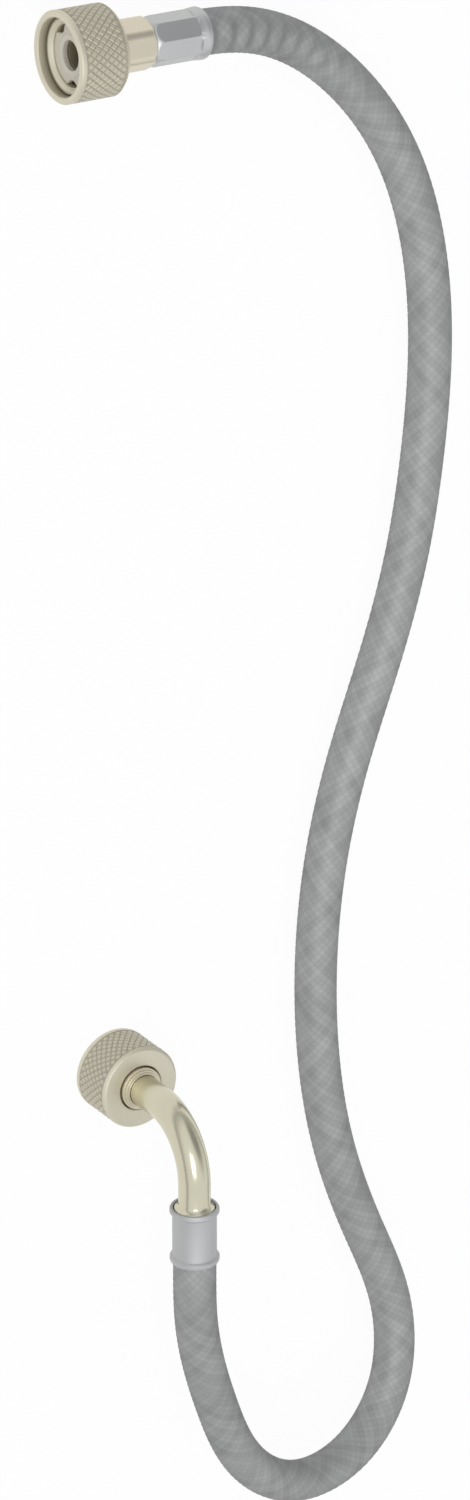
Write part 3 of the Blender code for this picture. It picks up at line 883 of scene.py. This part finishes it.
def ripple_dip(tree, distance, spacing, rippled, outwards):
    """How deep a point lies in the ripples that the bend presses into the hose, from 0 to 1."""
    waves = calc(tree, "DIVIDE", calc(tree, "SUBTRACT", distance, FIRST_RIPPLE), spacing)
    wave = calc(tree, "COSINE", product(tree, waves, math.tau))
    dip = calc(tree, "POWER", calc(tree, "MULTIPLY_ADD", wave, 0.5, 0.5), 2.0)
    on_side = vector_calc(tree, "DOT_PRODUCT", outwards, tuple(Vector(RIPPLE_SIDE).normalized()))
    pressed_in = calc(tree, "POWER", calc(tree, "MAXIMUM", on_side, 0.0), RIPPLE_FOCUS)
    return product(tree, dip, rippled, pressed_in)


def braid_tree():
    """Wraps a grid round the hose's middle line, with its points where strands that wind both ways cross."""
    lengths = ("Radius", "Relief", "Ripple", "Ripple spacing")
    tree, given = new_tree("Braid", ("Strands", "Sides", "Rings"), lengths)
    line = result(tree, "GeometryNodeMeshToCurve", {"Mesh": given["Geometry"]})
    length = result(tree, "GeometryNodeCurveLength", {"Curve": line})
    sheet, x, y = unit_grid(tree, calc(tree, "ADD", given["Sides"], 1.0), given["Rings"])
    around = calc(tree, "ADD", x, 0.5)
    along = calc(tree, "ADD", y, 0.5)
    last_ring = calc(tree, "SUBTRACT", given["Rings"], 1.0)
    lean = calc(tree, "DIVIDE", product(tree, along, last_ring), given["Sides"])
    first = product(tree, calc(tree, "ADD", around, lean), given["Strands"])
    second = product(tree, around, given["Strands"])
    distance = product(tree, along, length)
    found = sampled(tree, line, "grip", distance)
    rippled = sampled(tree, line, "ripple", distance)["Value"]
    angle = product(tree, calc(tree, "MULTIPLY_ADD", lean, 0.5, around), math.tau)
    sideways = vector_calc(tree, "CROSS_PRODUCT", found["Tangent"], found["Normal"])
    outwards = vector_calc(
        tree,
        "ADD",
        vector_calc(tree, "SCALE", found["Normal"], calc(tree, "COSINE", angle)),
        vector_calc(tree, "SCALE", sideways, calc(tree, "SINE", angle)),
    )
    dip = ripple_dip(tree, distance, given["Ripple spacing"], rippled, outwards)
    # The weave's Z holds the ripples' depth, which the braid's material turns into painted shade
    for label, kind, value in (
        ("weave", "FLOAT_VECTOR", combined(tree, first, second, dip)),
        ("UVMap", "FLOAT2", combined(tree, around, along)),
    ):
        inputs = {"Geometry": sheet, "Name": label, "Value": value}
        sheet = result(tree, "GeometryNodeStoreNamedAttribute", inputs, data_type=kind, domain="CORNER")
    crown = calc(tree, "SUBTRACT", crown_height(tree, first, second), MEAN_CROWN)
    sunk = product(tree, dip, given["Ripple"])
    raised = calc(tree, "SUBTRACT", product(tree, crown, given["Relief"]), sunk)
    radius = calc(tree, "MULTIPLY_ADD", given["Radius"], found["Value"], raised)
    closed = product(tree, radius, between(tree, y, -SHEET_EDGE, SHEET_EDGE))
    place = vector_calc(tree, "ADD", found["Position"], vector_calc(tree, "SCALE", outwards, closed))
    wrapped = result(tree, "GeometryNodeSetPosition", {"Geometry": sheet, "Position": place})
    seamless = {"Geometry": wrapped, "Distance": SLEEVE_WELD}
    return end_tree(tree, given, result(tree, "GeometryNodeMergeByDistance", seamless))


def smooth_curve(points, start_direction, end_direction):
    """Closely spaced points on the smooth cubic curve through the given points, with set end directions."""
    gaps = np.linalg.norm(np.diff(points, axis=0), axis=1)
    count = len(points)
    system = np.zeros((count, count))
    right = np.zeros((count, 3))
    system[0, 0] = system[-1, -1] = 1
    right[0], right[-1] = start_direction, end_direction
    for i in range(1, count - 1):
        before, after = gaps[i - 1], gaps[i]
        system[i, i - 1 : i + 2] = after, 2 * (before + after), before
        step_in = (points[i] - points[i - 1]) / before
        step_out = (points[i + 1] - points[i]) / after
        right[i] = 3 * (after * step_in + before * step_out)
    slopes = np.linalg.solve(system, right)
    t = np.linspace(0, 1, CURVE_STEPS, endpoint=False)[:, None]
    pieces = []
    for i in range(count - 1):
        pieces.append(
            (2 * t**3 - 3 * t**2 + 1) * points[i]
            + (t**3 - 2 * t**2 + t) * gaps[i] * slopes[i]
            + (3 * t**2 - 2 * t**3) * points[i + 1]
            + (t**3 - t**2) * gaps[i] * slopes[i + 1]
        )
    return np.vstack([*pieces, points[-1:]])


def walked_along(points):
    """The distance of each point along a line of points."""
    return np.concatenate([[0], np.cumsum(np.linalg.norm(np.diff(points, axis=0), axis=1))])


def evenly(points, spacing):
    """Points at an even spacing along a line of points."""
    walked = walked_along(points)
    stops = np.linspace(0, walked[-1], round(walked[-1] / spacing) + 1)
    return np.stack([np.interp(stops, walked, points[:, axis]) for axis in range(3)], axis=1)


def hose_line():
    """The hose's middle line between the ferrules' end walls, and how free of their grip each point is."""
    along_x, along_y = np.array((1.0, 0, 0)), np.array((0, 1.0, 0))
    inlet, leg = np.array(INLET_RIM), np.array(LEG_START)
    free_start = inlet + along_x * INLET_MOUTH
    free_end = leg - along_y * OUTLET_MOUTH
    route = np.vstack([free_start, np.array(ROUTE_MM) * MM, free_end])
    free = smooth_curve(route, along_x, along_y)
    start = inlet + along_x * INLET_HOSE_START
    end = leg - along_y * OUTLET_HOSE_START
    line = evenly(np.vstack([[start], free, [end]]), PATH_SPACING)
    x, y, z = line.T
    on_leg = (y >= free_end[1]) & (z >= LEG_START.z - MM)
    past_inlet = np.where(y > 0, x - free_start[0], np.inf)
    past_outlet = np.where(on_leg, free_end[1] - y, np.inf)
    free_share = np.clip(np.minimum(past_inlet, past_outlet) / CRIMP_RUN_OUT + 1, 0, 1)
    return line, free_share


def elbow_path(distance):
    """The place and direction on the bent tube's middle line, by the distance from its lower end."""
    if distance <= TUBE_RISE:
        return Vector((0, 0, ELBOW_FOOT + distance)), 0.0
    if distance < TUBE_RISE + TUBE_ARC:
        angle = (distance - TUBE_RISE) / ELBOW_BEND_RADIUS
        y = -ELBOW_BEND_RADIUS * (1 - math.cos(angle))
        z = OUTLET_LEVEL - ELBOW_BEND_RADIUS * (1 - math.sin(angle))
        return Vector((0, y, z)), angle
    along = distance - TUBE_RISE - TUBE_ARC
    return Vector((0, -ELBOW_BEND_RADIUS - along, OUTLET_LEVEL)), math.pi / 2


def bent_tube():
    """Rings of points along the bent tube, up its outside and back down its bore, made into one wall."""
    outer = ELBOW_DIAMETER / 2
    bead = BEAD_DIAMETER / 2
    bend = [TUBE_RISE + TUBE_ARC * step / TUBE_BEND_STEPS for step in range(TUBE_BEND_STEPS + 1)]
    shank = TUBE_RISE + TUBE_ARC - ELBOW_BEND_RADIUS + ELBOW_REACH - SEAT_GAP
    tail_start = shank + FERRULE_END_WALL + SEAT_GAP
    tip = tail_start + TAIL_LENGTH
    bead_start = shank - BEAD_LENGTH
    flare = []
    for left, risen in BEAD_FLARE_STEPS:
        flare.append((bead_start - BEAD_FLARE * left, outer + (bead - outer) * risen))
    stations = [
        (0, outer - EDGE_EASE),
        (EDGE_EASE, outer),
        *[(distance, outer) for distance in bend],
        *flare,
        *stepped(bead_start, bead, BEAD_SHOULDER_MM),
        (shank - EDGE_EASE, bead),
        (shank, bead - EDGE_EASE),
        (shank, SHANK_DIAMETER / 2),
        (tail_start, SHANK_DIAMETER / 2),
        (tail_start, TAIL_DIAMETER / 2),
        (tip, TAIL_DIAMETER / 2),
        (tip, TAIL_BORE / 2),
        (shank, TAIL_BORE / 2),
        (shank - 2 * BEAD_LENGTH, outer - ELBOW_WALL),
        *[(distance, outer - ELBOW_WALL) for distance in reversed(bend)],
        (0, outer - ELBOW_WALL),
    ]
    shape = bmesh.new()
    rings = []
    for distance, radius in stations:
        place, angle = elbow_path(distance)
        turn = Matrix.Translation(place) @ Matrix.Rotation(angle, 4, "X")
        ring = []
        for side in range(TUBE_SIDES):
            around = math.tau * side / TUBE_SIDES
            point = Vector((radius * math.cos(around), radius * math.sin(around), 0))
            ring.append(shape.verts.new(turn @ point))
        rings.append(ring)
    for ring, following in zip(rings, rings[1:] + rings[:1]):
        for side in range(TUBE_SIDES):
            after = (side + 1) % TUBE_SIDES
            shape.faces.new((ring[side], ring[after], following[after], following[side]))
    bmesh.ops.recalc_face_normals(shape, faces=shape.faces[:])
    return shape


def nut_profile(knurl_depth):
    """A union nut's section with its knurled band cut down to the bottom of the diamonds."""
    band = NUT_RADIUS - knurl_depth
    knurl_end = NUT_LENGTH - NUT_REAR_BAND
    ramp = knurl_depth * KNURL_RAMP
    skirt = SKIRT_BORE / 2
    return eased(
        [
            (0, skirt + NUT_EDGE),
            (0, NUT_RADIUS - NUT_EDGE),
            (NUT_EDGE, NUT_RADIUS),
            (NUT_LIP, NUT_RADIUS),
            (NUT_LIP + ramp, band),
            (knurl_end - ramp, band),
            (knurl_end, NUT_RADIUS),
            (NUT_LENGTH, NUT_RADIUS - NUT_REAR_CHAMFER),
            (NUT_LENGTH, NUT_REAR_HOLE / 2 + NUT_REAR_HOLE_EASE),
            (NUT_LENGTH - NUT_REAR_HOLE_EASE, NUT_REAR_HOLE / 2),
            (NUT_LENGTH - NUT_REAR_WALL, NUT_REAR_HOLE / 2),
            (NUT_LENGTH - NUT_REAR_WALL, THREAD_ROOT / 2),
            (THREAD_MOUTH_END, THREAD_ROOT / 2),
            (SKIRT_DEPTH, THREAD_MOUTH / 2),
            (SKIRT_DEPTH, skirt - LEDGE_GROOVE),
            (SKIRT_DEPTH + LEDGE_GROOVE, skirt - LEDGE_GROOVE),
            (SKIRT_DEPTH + LEDGE_GROOVE, skirt),
            (NUT_EDGE, skirt),
        ]
    )


class HOSE_OT_union_nuts(bpy.types.Operator):
    """Turn the two union nuts, with knurl diamonds and a thread grown on each"""

    bl_idname = "hose.union_nuts"
    bl_label = "Union nuts"

    def execute(self, context):
        sizes = context.scene.hose_sizes
        tree = knurl_and_thread_tree()
        colour = context.scene.hose_colours.nickel
        for name, matrix, body, replaced in (
            ("knurled_nut_inlet", INLET, "inlet_nut", "inlet_union_nut"),
            ("knurled_nut_outlet", OUTLET, "outlet_nut", "outlet_union_nut"),
        ):
            material = turned_metal(
                name + "_nickel",
                colour,
                NICKEL_ROUGHNESS,
                matrix,
                TURN_MARKS,
                knurl_depth=sizes.knurl_depth,
            )
            blank = as_object(name + "_blank", turned(nut_profile(sizes.knurl_depth)), Matrix())
            values = {
                "Columns": sizes.knurl_columns,
                "Rows": sizes.knurl_rows,
                "Band start": NUT_LIP,
                "Band length": NUT_LENGTH - NUT_REAR_BAND - NUT_LIP,
                "Band radius": NUT_RADIUS - sizes.knurl_depth - DIAMOND_SINK,
                "Depth": sizes.knurl_depth,
                "Pitch": sizes.thread_pitch,
                "Thread start": THREAD_START,
                "Thread length": NUT_LENGTH - NUT_REAR_WALL - THREAD_START - THREAD_CHAMFER,
                "Root radius": THREAD_ROOT / 2,
                "Crest radius": THREAD_CREST / 2,
                "Material": material,
            }
            nut = grown(blank, tree, values, name, matrix)
            finish_piece(nut, material, "nickel_plate", body, replaced)
        return {"FINISHED"}


def cut_notches(shape, matrix):
    """Draws in the gasket's edge at two places, where the nut's thread has worn it."""
    sides = matrix.to_3x3().inverted()
    for vert in shape.verts:
        radius = math.hypot(vert.co.x, vert.co.y)
        if radius < GASKET_DIAMETER / 2 - GASKET_NOTCH_BAND:
            continue
        for angle in GASKET_NOTCHES:
            middle = sides @ Vector((0, math.cos(angle), math.sin(angle)))
            away = vert.co.xy.angle(middle.xy) / GASKET_NOTCH_HALF_ANGLE if middle.xy.length else 1
            if away < 1:
                inner = radius - GASKET_NOTCH_DEPTH * math.sqrt(math.cos(away * math.pi / 2))
                vert.co.x *= inner / radius
                vert.co.y *= inner / radius


class HOSE_OT_gaskets(bpy.types.Operator):
    """Lay the flat fibre ring in each union nut"""

    bl_idname = "hose.gaskets"
    bl_label = "Gaskets"

    def execute(self, context):
        colour = context.scene.hose_colours.fibre
        back = GASKET_RECESS + GASKET_THICKNESS
        profile = [
            (GASKET_RECESS, GASKET_HOLE / 2),
            (GASKET_RECESS, GASKET_RIB_DIAMETER / 2),
            (GASKET_RECESS + GASKET_RIB, GASKET_RIB_DIAMETER / 2 + GASKET_RIB),
            (GASKET_RECESS + GASKET_RIB, GASKET_DIAMETER / 2),
            (back, GASKET_DIAMETER / 2),
            (back, GASKET_HOLE / 2),
        ]
        for name, matrix, replaced in (
            ("sealing_ring_inlet", INLET, "inlet_gasket"),
            ("sealing_ring_outlet", OUTLET, "outlet_gasket"),
        ):
            shape = turned(eased(profile, GASKET_EASE))
            cut_notches(shape, matrix)
            ring = as_object(name, shape, matrix)
            finish_piece(ring, fibre_material(name, colour), "fibre", "hose", replaced)
        return {"FINISHED"}


def flange_profile():
    """The outside of the seat flange and the neck, up to where the neck leaves the nut."""
    return [
        (FLANGE_FACE, FLANGE_DIAMETER / 2),
        (FLANGE_BACK, FLANGE_DIAMETER / 2),
        (FLANGE_BACK, NECK_DIAMETER / 2),
    ]


class HOSE_OT_nipple(bpy.types.Operator):
    """Turn the brass nipple and press its hexagon"""

    bl_idname = "hose.nipple"
    bl_label = "Hexagon nipple"

    def execute(self, context):
        corner = HEX_ACROSS_FLATS / 2 / math.cos(math.pi / HEX_FLATS)
        face = HEX_ACROSS_FLATS / 2 + HEX_CHAMFER / 4
        shank_end = HEX_BACK + SHANK_LENGTH
        tip = shank_end + TAIL_LENGTH
        profile = [
            *flange_profile(),
            (HEX_FRONT, NECK_DIAMETER / 2),
            (HEX_FRONT, face),
            (HEX_FRONT + HEX_CHAMFER, corner),
            (HEX_BACK - HEX_CHAMFER, corner),
            (HEX_BACK, face),
            (HEX_BACK, SHANK_DIAMETER / 2),
            (shank_end, SHANK_DIAMETER / 2),
            (shank_end, TAIL_DIAMETER / 2),
            (tip, TAIL_DIAMETER / 2),
            (tip, TAIL_BORE / 2),
            (HEX_BACK - BORE_STEP, TAIL_BORE / 2),
            (HEX_BACK - 2 * BORE_STEP, WATERWAY / 2),
            (FLANGE_FACE, WATERWAY / 2),
        ]
        shape = turned(eased(profile), HEX_SIDES)
        press_flats(shape, HEX_ACROSS_FLATS, HEX_FLATS, HEX_TURN, HEX_FRONT, HEX_BACK, HEX_ROUNDING)
        colour = context.scene.hose_colours.brass
        material = turned_metal("nipple_brass", colour, NIPPLE_ROUGHNESS, INLET, TURN_MARKS, WATERWAY / 2)
        nipple = as_object("hexagon_nipple", shape, INLET)
        finish_piece(nipple, material, "brass", "hose", "inlet_nipple")
        return {"FINISHED"}


def flared_mouth(mouth):
    """The inside of a ferrule from its mouth to where it grips the hose."""
    return [
        *stepped(mouth, FERRULE_MOUTH / 2, MOUTH_EDGE_MM),
        (mouth - FERRULE_FLARE, FERRULE_INNER / 2),
    ]


def crimped_profile():
    """The crimped ferrule's section, with a round shoulder at its end and a flared lip at its mouth."""
    start = INLET_WALL_FRONT
    crimp_start = start + CRIMP_SHOULDER
    crimp_end = start + CRIMP_END
    body = CRIMPED_DIAMETER / 2
    end_radius = CRIMPED_END_DIAMETER / 2
    lip = FERRULE_LIP_DIAMETER / 2
    shoulder = []
    for step in range(SHOULDER_RINGS + 1):
        share = step / SHOULDER_RINGS
        rise = math.sin(share * math.pi / 2) ** SHOULDER_POWER
        shoulder.append((start + CRIMP_SHOULDER * share, end_radius + (body - end_radius) * rise))
    ring_gap = (crimp_end - crimp_start) / CRIMP_RINGS
    return [
        (start, FERRULE_WALL_HOLE / 2),
        *shoulder,
        *[(crimp_start + ring_gap * step, body) for step in range(1, CRIMP_RINGS + 1)],
        (crimp_end + CRIMP_RUN_ON, body),
        *stepped(INLET_MOUTH - FERRULE_LIP, lip, LIP_FOOT_MM),
        *stepped(INLET_MOUTH, lip, LIP_EDGE_MM),
        *flared_mouth(INLET_MOUTH),
        (start + FERRULE_END_WALL, FERRULE_INNER / 2),
        (start + FERRULE_END_WALL, FERRULE_WALL_HOLE / 2),
    ]


def beaded_profile():
    """The round ferrule's section: a bead at each end, and its end wall set back inside the first."""
    start = ELBOW_REACH - ROUND_RECESS
    second_bead = OUTLET_MOUTH - FERRULE_LIP
    body = ROUND_DIAMETER / 2
    lip = FERRULE_LIP_DIAMETER / 2
    return [
        (start + RECESS_CHAMFER, RECESS_DIAMETER / 2),
        (start, RECESS_DIAMETER / 2 + RECESS_CHAMFER),
        *stepped(start, lip, BEAD_START_MM),
        *stepped(start + FERRULE_LIP, lip, BEAD_SIDE_MM),
        *stepped(start + FERRULE_LIP, body, BEAD_FOOT_MM),
        *reversed(stepped(second_bead, body, BEAD_FOOT_MM, -1)),
        *reversed(stepped(second_bead, lip, BEAD_SIDE_MM, -1)),
        *stepped(OUTLET_MOUTH, lip, BEAD_END_MM),
        *flared_mouth(OUTLET_MOUTH),
        (ELBOW_REACH + FERRULE_END_WALL, FERRULE_INNER / 2),
        (ELBOW_REACH + FERRULE_END_WALL, FERRULE_WALL_HOLE / 2),
        (ELBOW_REACH, FERRULE_WALL_HOLE / 2),
        (ELBOW_REACH, RECESS_DIAMETER / 2),
    ]


class HOSE_OT_ferrules(bpy.types.Operator):
    """Make the crimped ferrule at the inlet and the beaded one at the outlet"""

    bl_idname = "hose.ferrules"
    bl_label = "Ferrules"

    def execute(self, context):
        colour = context.scene.hose_colours.steel
        crimped = turned(crimped_profile(), FERRULE_SIDES)
        press_flats(
            crimped,
            CRIMP_ACROSS_FLATS,
            CRIMP_FLATS,
            CRIMP_TURN,
            INLET_WALL_FRONT + CRIMP_PRESS_START,
            INLET_WALL_FRONT + CRIMP_END + CRIMP_PRESS_PAST,
            CRIMP_ROUNDING,
        )
        for name, shape, matrix, roughness, replaced in (
            ("crimped_ferrule", crimped, INLET, CRIMPED_ROUGHNESS, "inlet_ferrule"),
            ("beaded_ferrule", turned(beaded_profile()), OUTLET_LEG, BEADED_ROUGHNESS, "outlet_ferrule"),
        ):
            material = turned_metal(name + "_steel", colour, roughness, matrix, FERRULE_MARKS)
            ferrule = as_object(name, shape, matrix)
            finish_piece(ferrule, material, "ferrule_steel", "hose", replaced)
        return {"FINISHED"}


class HOSE_OT_elbow(bpy.types.Operator):
    """Bend the tube of the outlet and turn the stepped collar on its foot"""

    bl_idname = "hose.elbow"
    bl_label = "Elbow and collar"

    def execute(self, context):
        colours = context.scene.hose_colours
        socket = ELBOW_DIAMETER / 2 + SEAT_GAP
        braze = ELBOW_DIAMETER / 2 + BRAZE_GAP
        seat = ELBOW_FOOT - SEAT_GAP
        step_top = COLLAR_STEP + COLLAR_STEP_RISE
        profile = [
            *flange_profile(),
            (COLLAR_STEP, NECK_DIAMETER / 2),
            (COLLAR_STEP, COLLAR_STEP_DIAMETER / 2),
            (step_top, COLLAR_STEP_DIAMETER / 2),
            (step_top, COLLAR_END_DIAMETER / 2),
            (COLLAR_END, COLLAR_END_DIAMETER / 2),
            (COLLAR_END, braze),
            (COLLAR_END - BRAZE_DEPTH, braze),
            (COLLAR_END - BRAZE_DEPTH - BRAZE_SLOPE, socket),
            (seat, socket),
            (seat, WATERWAY / 2),
            (FLANGE_FACE, WATERWAY / 2),
        ]
        collar = as_object("stepped_collar", turned(eased(profile, COLLAR_EASE)), OUTLET)
        collar_finish = (COLLAR_ROUGHNESS, OUTLET, TURN_MARKS, WATERWAY / 2)
        collar_brass = turned_metal("collar_brass", colours.brass, *collar_finish)
        finish_piece(collar, collar_brass, "brass", "hose", "outlet_collar")
        tube = as_object("bent_tube", bent_tube(), OUTLET)
        plate = turned_metal("tube_plate", colours.tube, TUBE_ROUGHNESS, OUTLET, 0.0)
        finish_piece(tube, plate, "brass", "hose", "outlet_elbow")
        return {"FINISHED"}


class HOSE_OT_braid(bpy.types.Operator):
    """Weave the braided sleeve along the hose's middle line"""

    bl_idname = "hose.braid"
    bl_label = "Braided hose"

    def execute(self, context):
        sizes = context.scene.hose_sizes
        line, free_share = hose_line()
        mesh = bpy.data.meshes.new("hose_line")
        mesh.from_pydata(line.tolist(), [(i, i + 1) for i in range(len(line) - 1)], [])
        gripped = CRIMPED_HOSE_DIAMETER / sizes.hose_diameter
        walked = walked_along(line)
        for label, values in (
            ("grip", gripped + (1 - gripped) * free_share),
            ("ripple", np.clip((RIPPLE_END - walked) / (RIPPLE_END - RIPPLE_START), 0, 1)),
        ):
            mesh.attributes.new(label, "FLOAT", "POINT").data.foreach_set("value", values)
        source = bpy.data.objects.new("hose_line", mesh)
        context.scene.collection.objects.link(source)
        material = braid_material(context.scene.hose_colours.wire, sizes.strands, sizes.wires)
        length = float(walked[-1])
        sides = sizes.strands * POINTS_PER_STRAND
        ring_step = math.pi * sizes.hose_diameter / sides / 2
        values = {
            "Strands": sizes.strands,
            "Sides": sides,
            "Rings": round(length / ring_step),
            "Radius": sizes.hose_diameter / 2,
            "Relief": sizes.relief,
            "Ripple": RIPPLE_DEPTH,
            "Ripple spacing": RIPPLE_SPACING,
            "Material": material,
        }
        sleeve = grown(source, braid_tree(), values, "braided_sleeve", Matrix())
        finish_piece(sleeve, material, "braided_wire", "hose", "braid_sleeve", "inner_tube")
        return {"FINISHED"}


def key_light():
    """One soft lamp above the hose, on the camera's side."""
    data = bpy.data.lights.new("key", "AREA")
    data.shape = "RECTANGLE"
    data.size = KEY_WIDTH
    data.size_y = KEY_DEPTH
    data.energy = KEY_POWER
    light = bpy.data.objects.new("key", data)
    light.location = KEY_PLACE
    light.rotation_mode = "QUATERNION"
    light.rotation_quaternion = (Vector(KEY_TARGET) - Vector(KEY_PLACE)).to_track_quat("-Z", "Y")
    bpy.context.scene.collection.objects.link(light)


def floor_material():
    """White to the camera and in reflections, with the object's shadow faintly on it."""
    material = bpy.data.materials.new("pale_floor")
    tree = empty_tree(material)
    rays = node(tree, "ShaderNodeLightPath").outputs
    seen = calc(tree, "MAXIMUM", rays["Is Camera Ray"], rays["Is Glossy Ray"])
    seen = calc(tree, "MAXIMUM", seen, rays["Is Transmission Ray"])
    paint = result(tree, "ShaderNodeBsdfDiffuse", {"Color": FLOOR_COLOUR})
    white = result(tree, "ShaderNodeEmission", {"Color": (1, 1, 1, 1), "Strength": 1.0})
    share = product(tree, seen, FLOOR_WHITE_SHARE)
    mixed = result(tree, "ShaderNodeMixShader", {0: share, 1: paint, 2: white})
    node(tree, "ShaderNodeOutputMaterial", {"Surface": mixed})
    return material


def studio_world():
    """A pale studio with one soft dark screen in it, so that the metals have something to mirror."""
    world = bpy.data.worlds.new("studio")
    tree = empty_tree(world)
    direction = node(tree, "ShaderNodeTexCoord").outputs["Generated"]
    offset = vector_calc(tree, "SUBTRACT", direction, SCREEN_DIRECTION)
    offset = vector_calc(tree, "MULTIPLY", offset, SCREEN_SHAPE)
    distance = vector_calc(tree, "LENGTH", offset)
    up = node(tree, "ShaderNodeSeparateXYZ", {"Vector": direction}).outputs["Z"]
    soft = {"interpolation_type": "SMOOTHSTEP"}
    screen = mapped(tree, distance, *SCREEN_EDGE, SCREEN_SHADE, 1.0, **soft)
    sky = mapped(tree, up, 0.0, SKY_FULL_HEIGHT, SKY_AT_HORIZON, 1.0, **soft)
    light = product(tree, screen, sky)
    background = result(tree, "ShaderNodeBackground", {"Color": SKY_COLOUR, "Strength": light})
    node(tree, "ShaderNodeOutputWorld", {"Surface": background})
    return world


class HOSE_OT_stage(bpy.types.Operator):
    """Set the camera, the pale floor and the soft studio light"""

    bl_idname = "hose.stage"
    bl_label = "Stage"

    def execute(self, context):
        scene = context.scene
        camera_data = bpy.data.cameras.new("camera")
        camera_data.sensor_width = SENSOR_LONG_SIDE
        camera_data.lens = CAMERA_LENS
        camera = bpy.data.objects.new("camera", camera_data)
        turn = Matrix((CAMERA_RIGHT, CAMERA_UP, CAMERA_BACK)).transposed()
        camera.matrix_world = Matrix.Translation(CAMERA_PLACE) @ turn.to_4x4()
        scene.collection.objects.link(camera)
        scene.camera = camera

        shape = bmesh.new()
        bmesh.ops.create_grid(shape, x_segments=1, y_segments=1, size=FLOOR_HALF_WIDTH)
        floor = as_object("floor", shape, Matrix.Translation((0, 0, -FLOOR_GAP)))
        floor.data.materials.append(floor_material())

        key_light()
        scene.world = studio_world()
        scene.view_settings.view_transform = "Standard"
        return {"FINISHED"}


OPERATORS = (
    HOSE_OT_stage,
    HOSE_OT_union_nuts,
    HOSE_OT_gaskets,
    HOSE_OT_nipple,
    HOSE_OT_ferrules,
    HOSE_OT_elbow,
    HOSE_OT_braid,
)


class HOSE_PT_build(bpy.types.Panel):
    """The hose's sizes, its colours and a button for each group of pieces"""

    bl_label = "Braided hose"
    bl_idname = "HOSE_PT_build"
    bl_space_type = "VIEW_3D"
    bl_region_type = "UI"
    bl_category = "Hose"

    def draw(self, context):
        layout = self.layout
        for group in (context.scene.hose_sizes, context.scene.hose_colours):
            for name in group.bl_rna.properties.keys():
                if name not in ("rna_type", "name"):
                    layout.prop(group, name)
        for operator in OPERATORS:
            layout.operator(operator.bl_idname)


CLASSES = (HoseSizes, HoseColours, *OPERATORS, HOSE_PT_build)


def register():
    for cls in CLASSES:
        bpy.utils.register_class(cls)
    bpy.types.Scene.hose_sizes = bpy.props.PointerProperty(type=HoseSizes)
    bpy.types.Scene.hose_colours = bpy.props.PointerProperty(type=HoseColours)


def unregister():
    del bpy.types.Scene.hose_colours
    del bpy.types.Scene.hose_sizes
    for cls in reversed(CLASSES):
        bpy.utils.unregister_class(cls)


def main():
    """Builds the whole hose on its stage."""
    register()
    bpy.ops.hose.stage()
    bpy.ops.hose.union_nuts()
    bpy.ops.hose.gaskets()
    bpy.ops.hose.nipple()
    bpy.ops.hose.ferrules()
    bpy.ops.hose.elbow()
    bpy.ops.hose.braid()


if __name__ == "__main__":
    main()
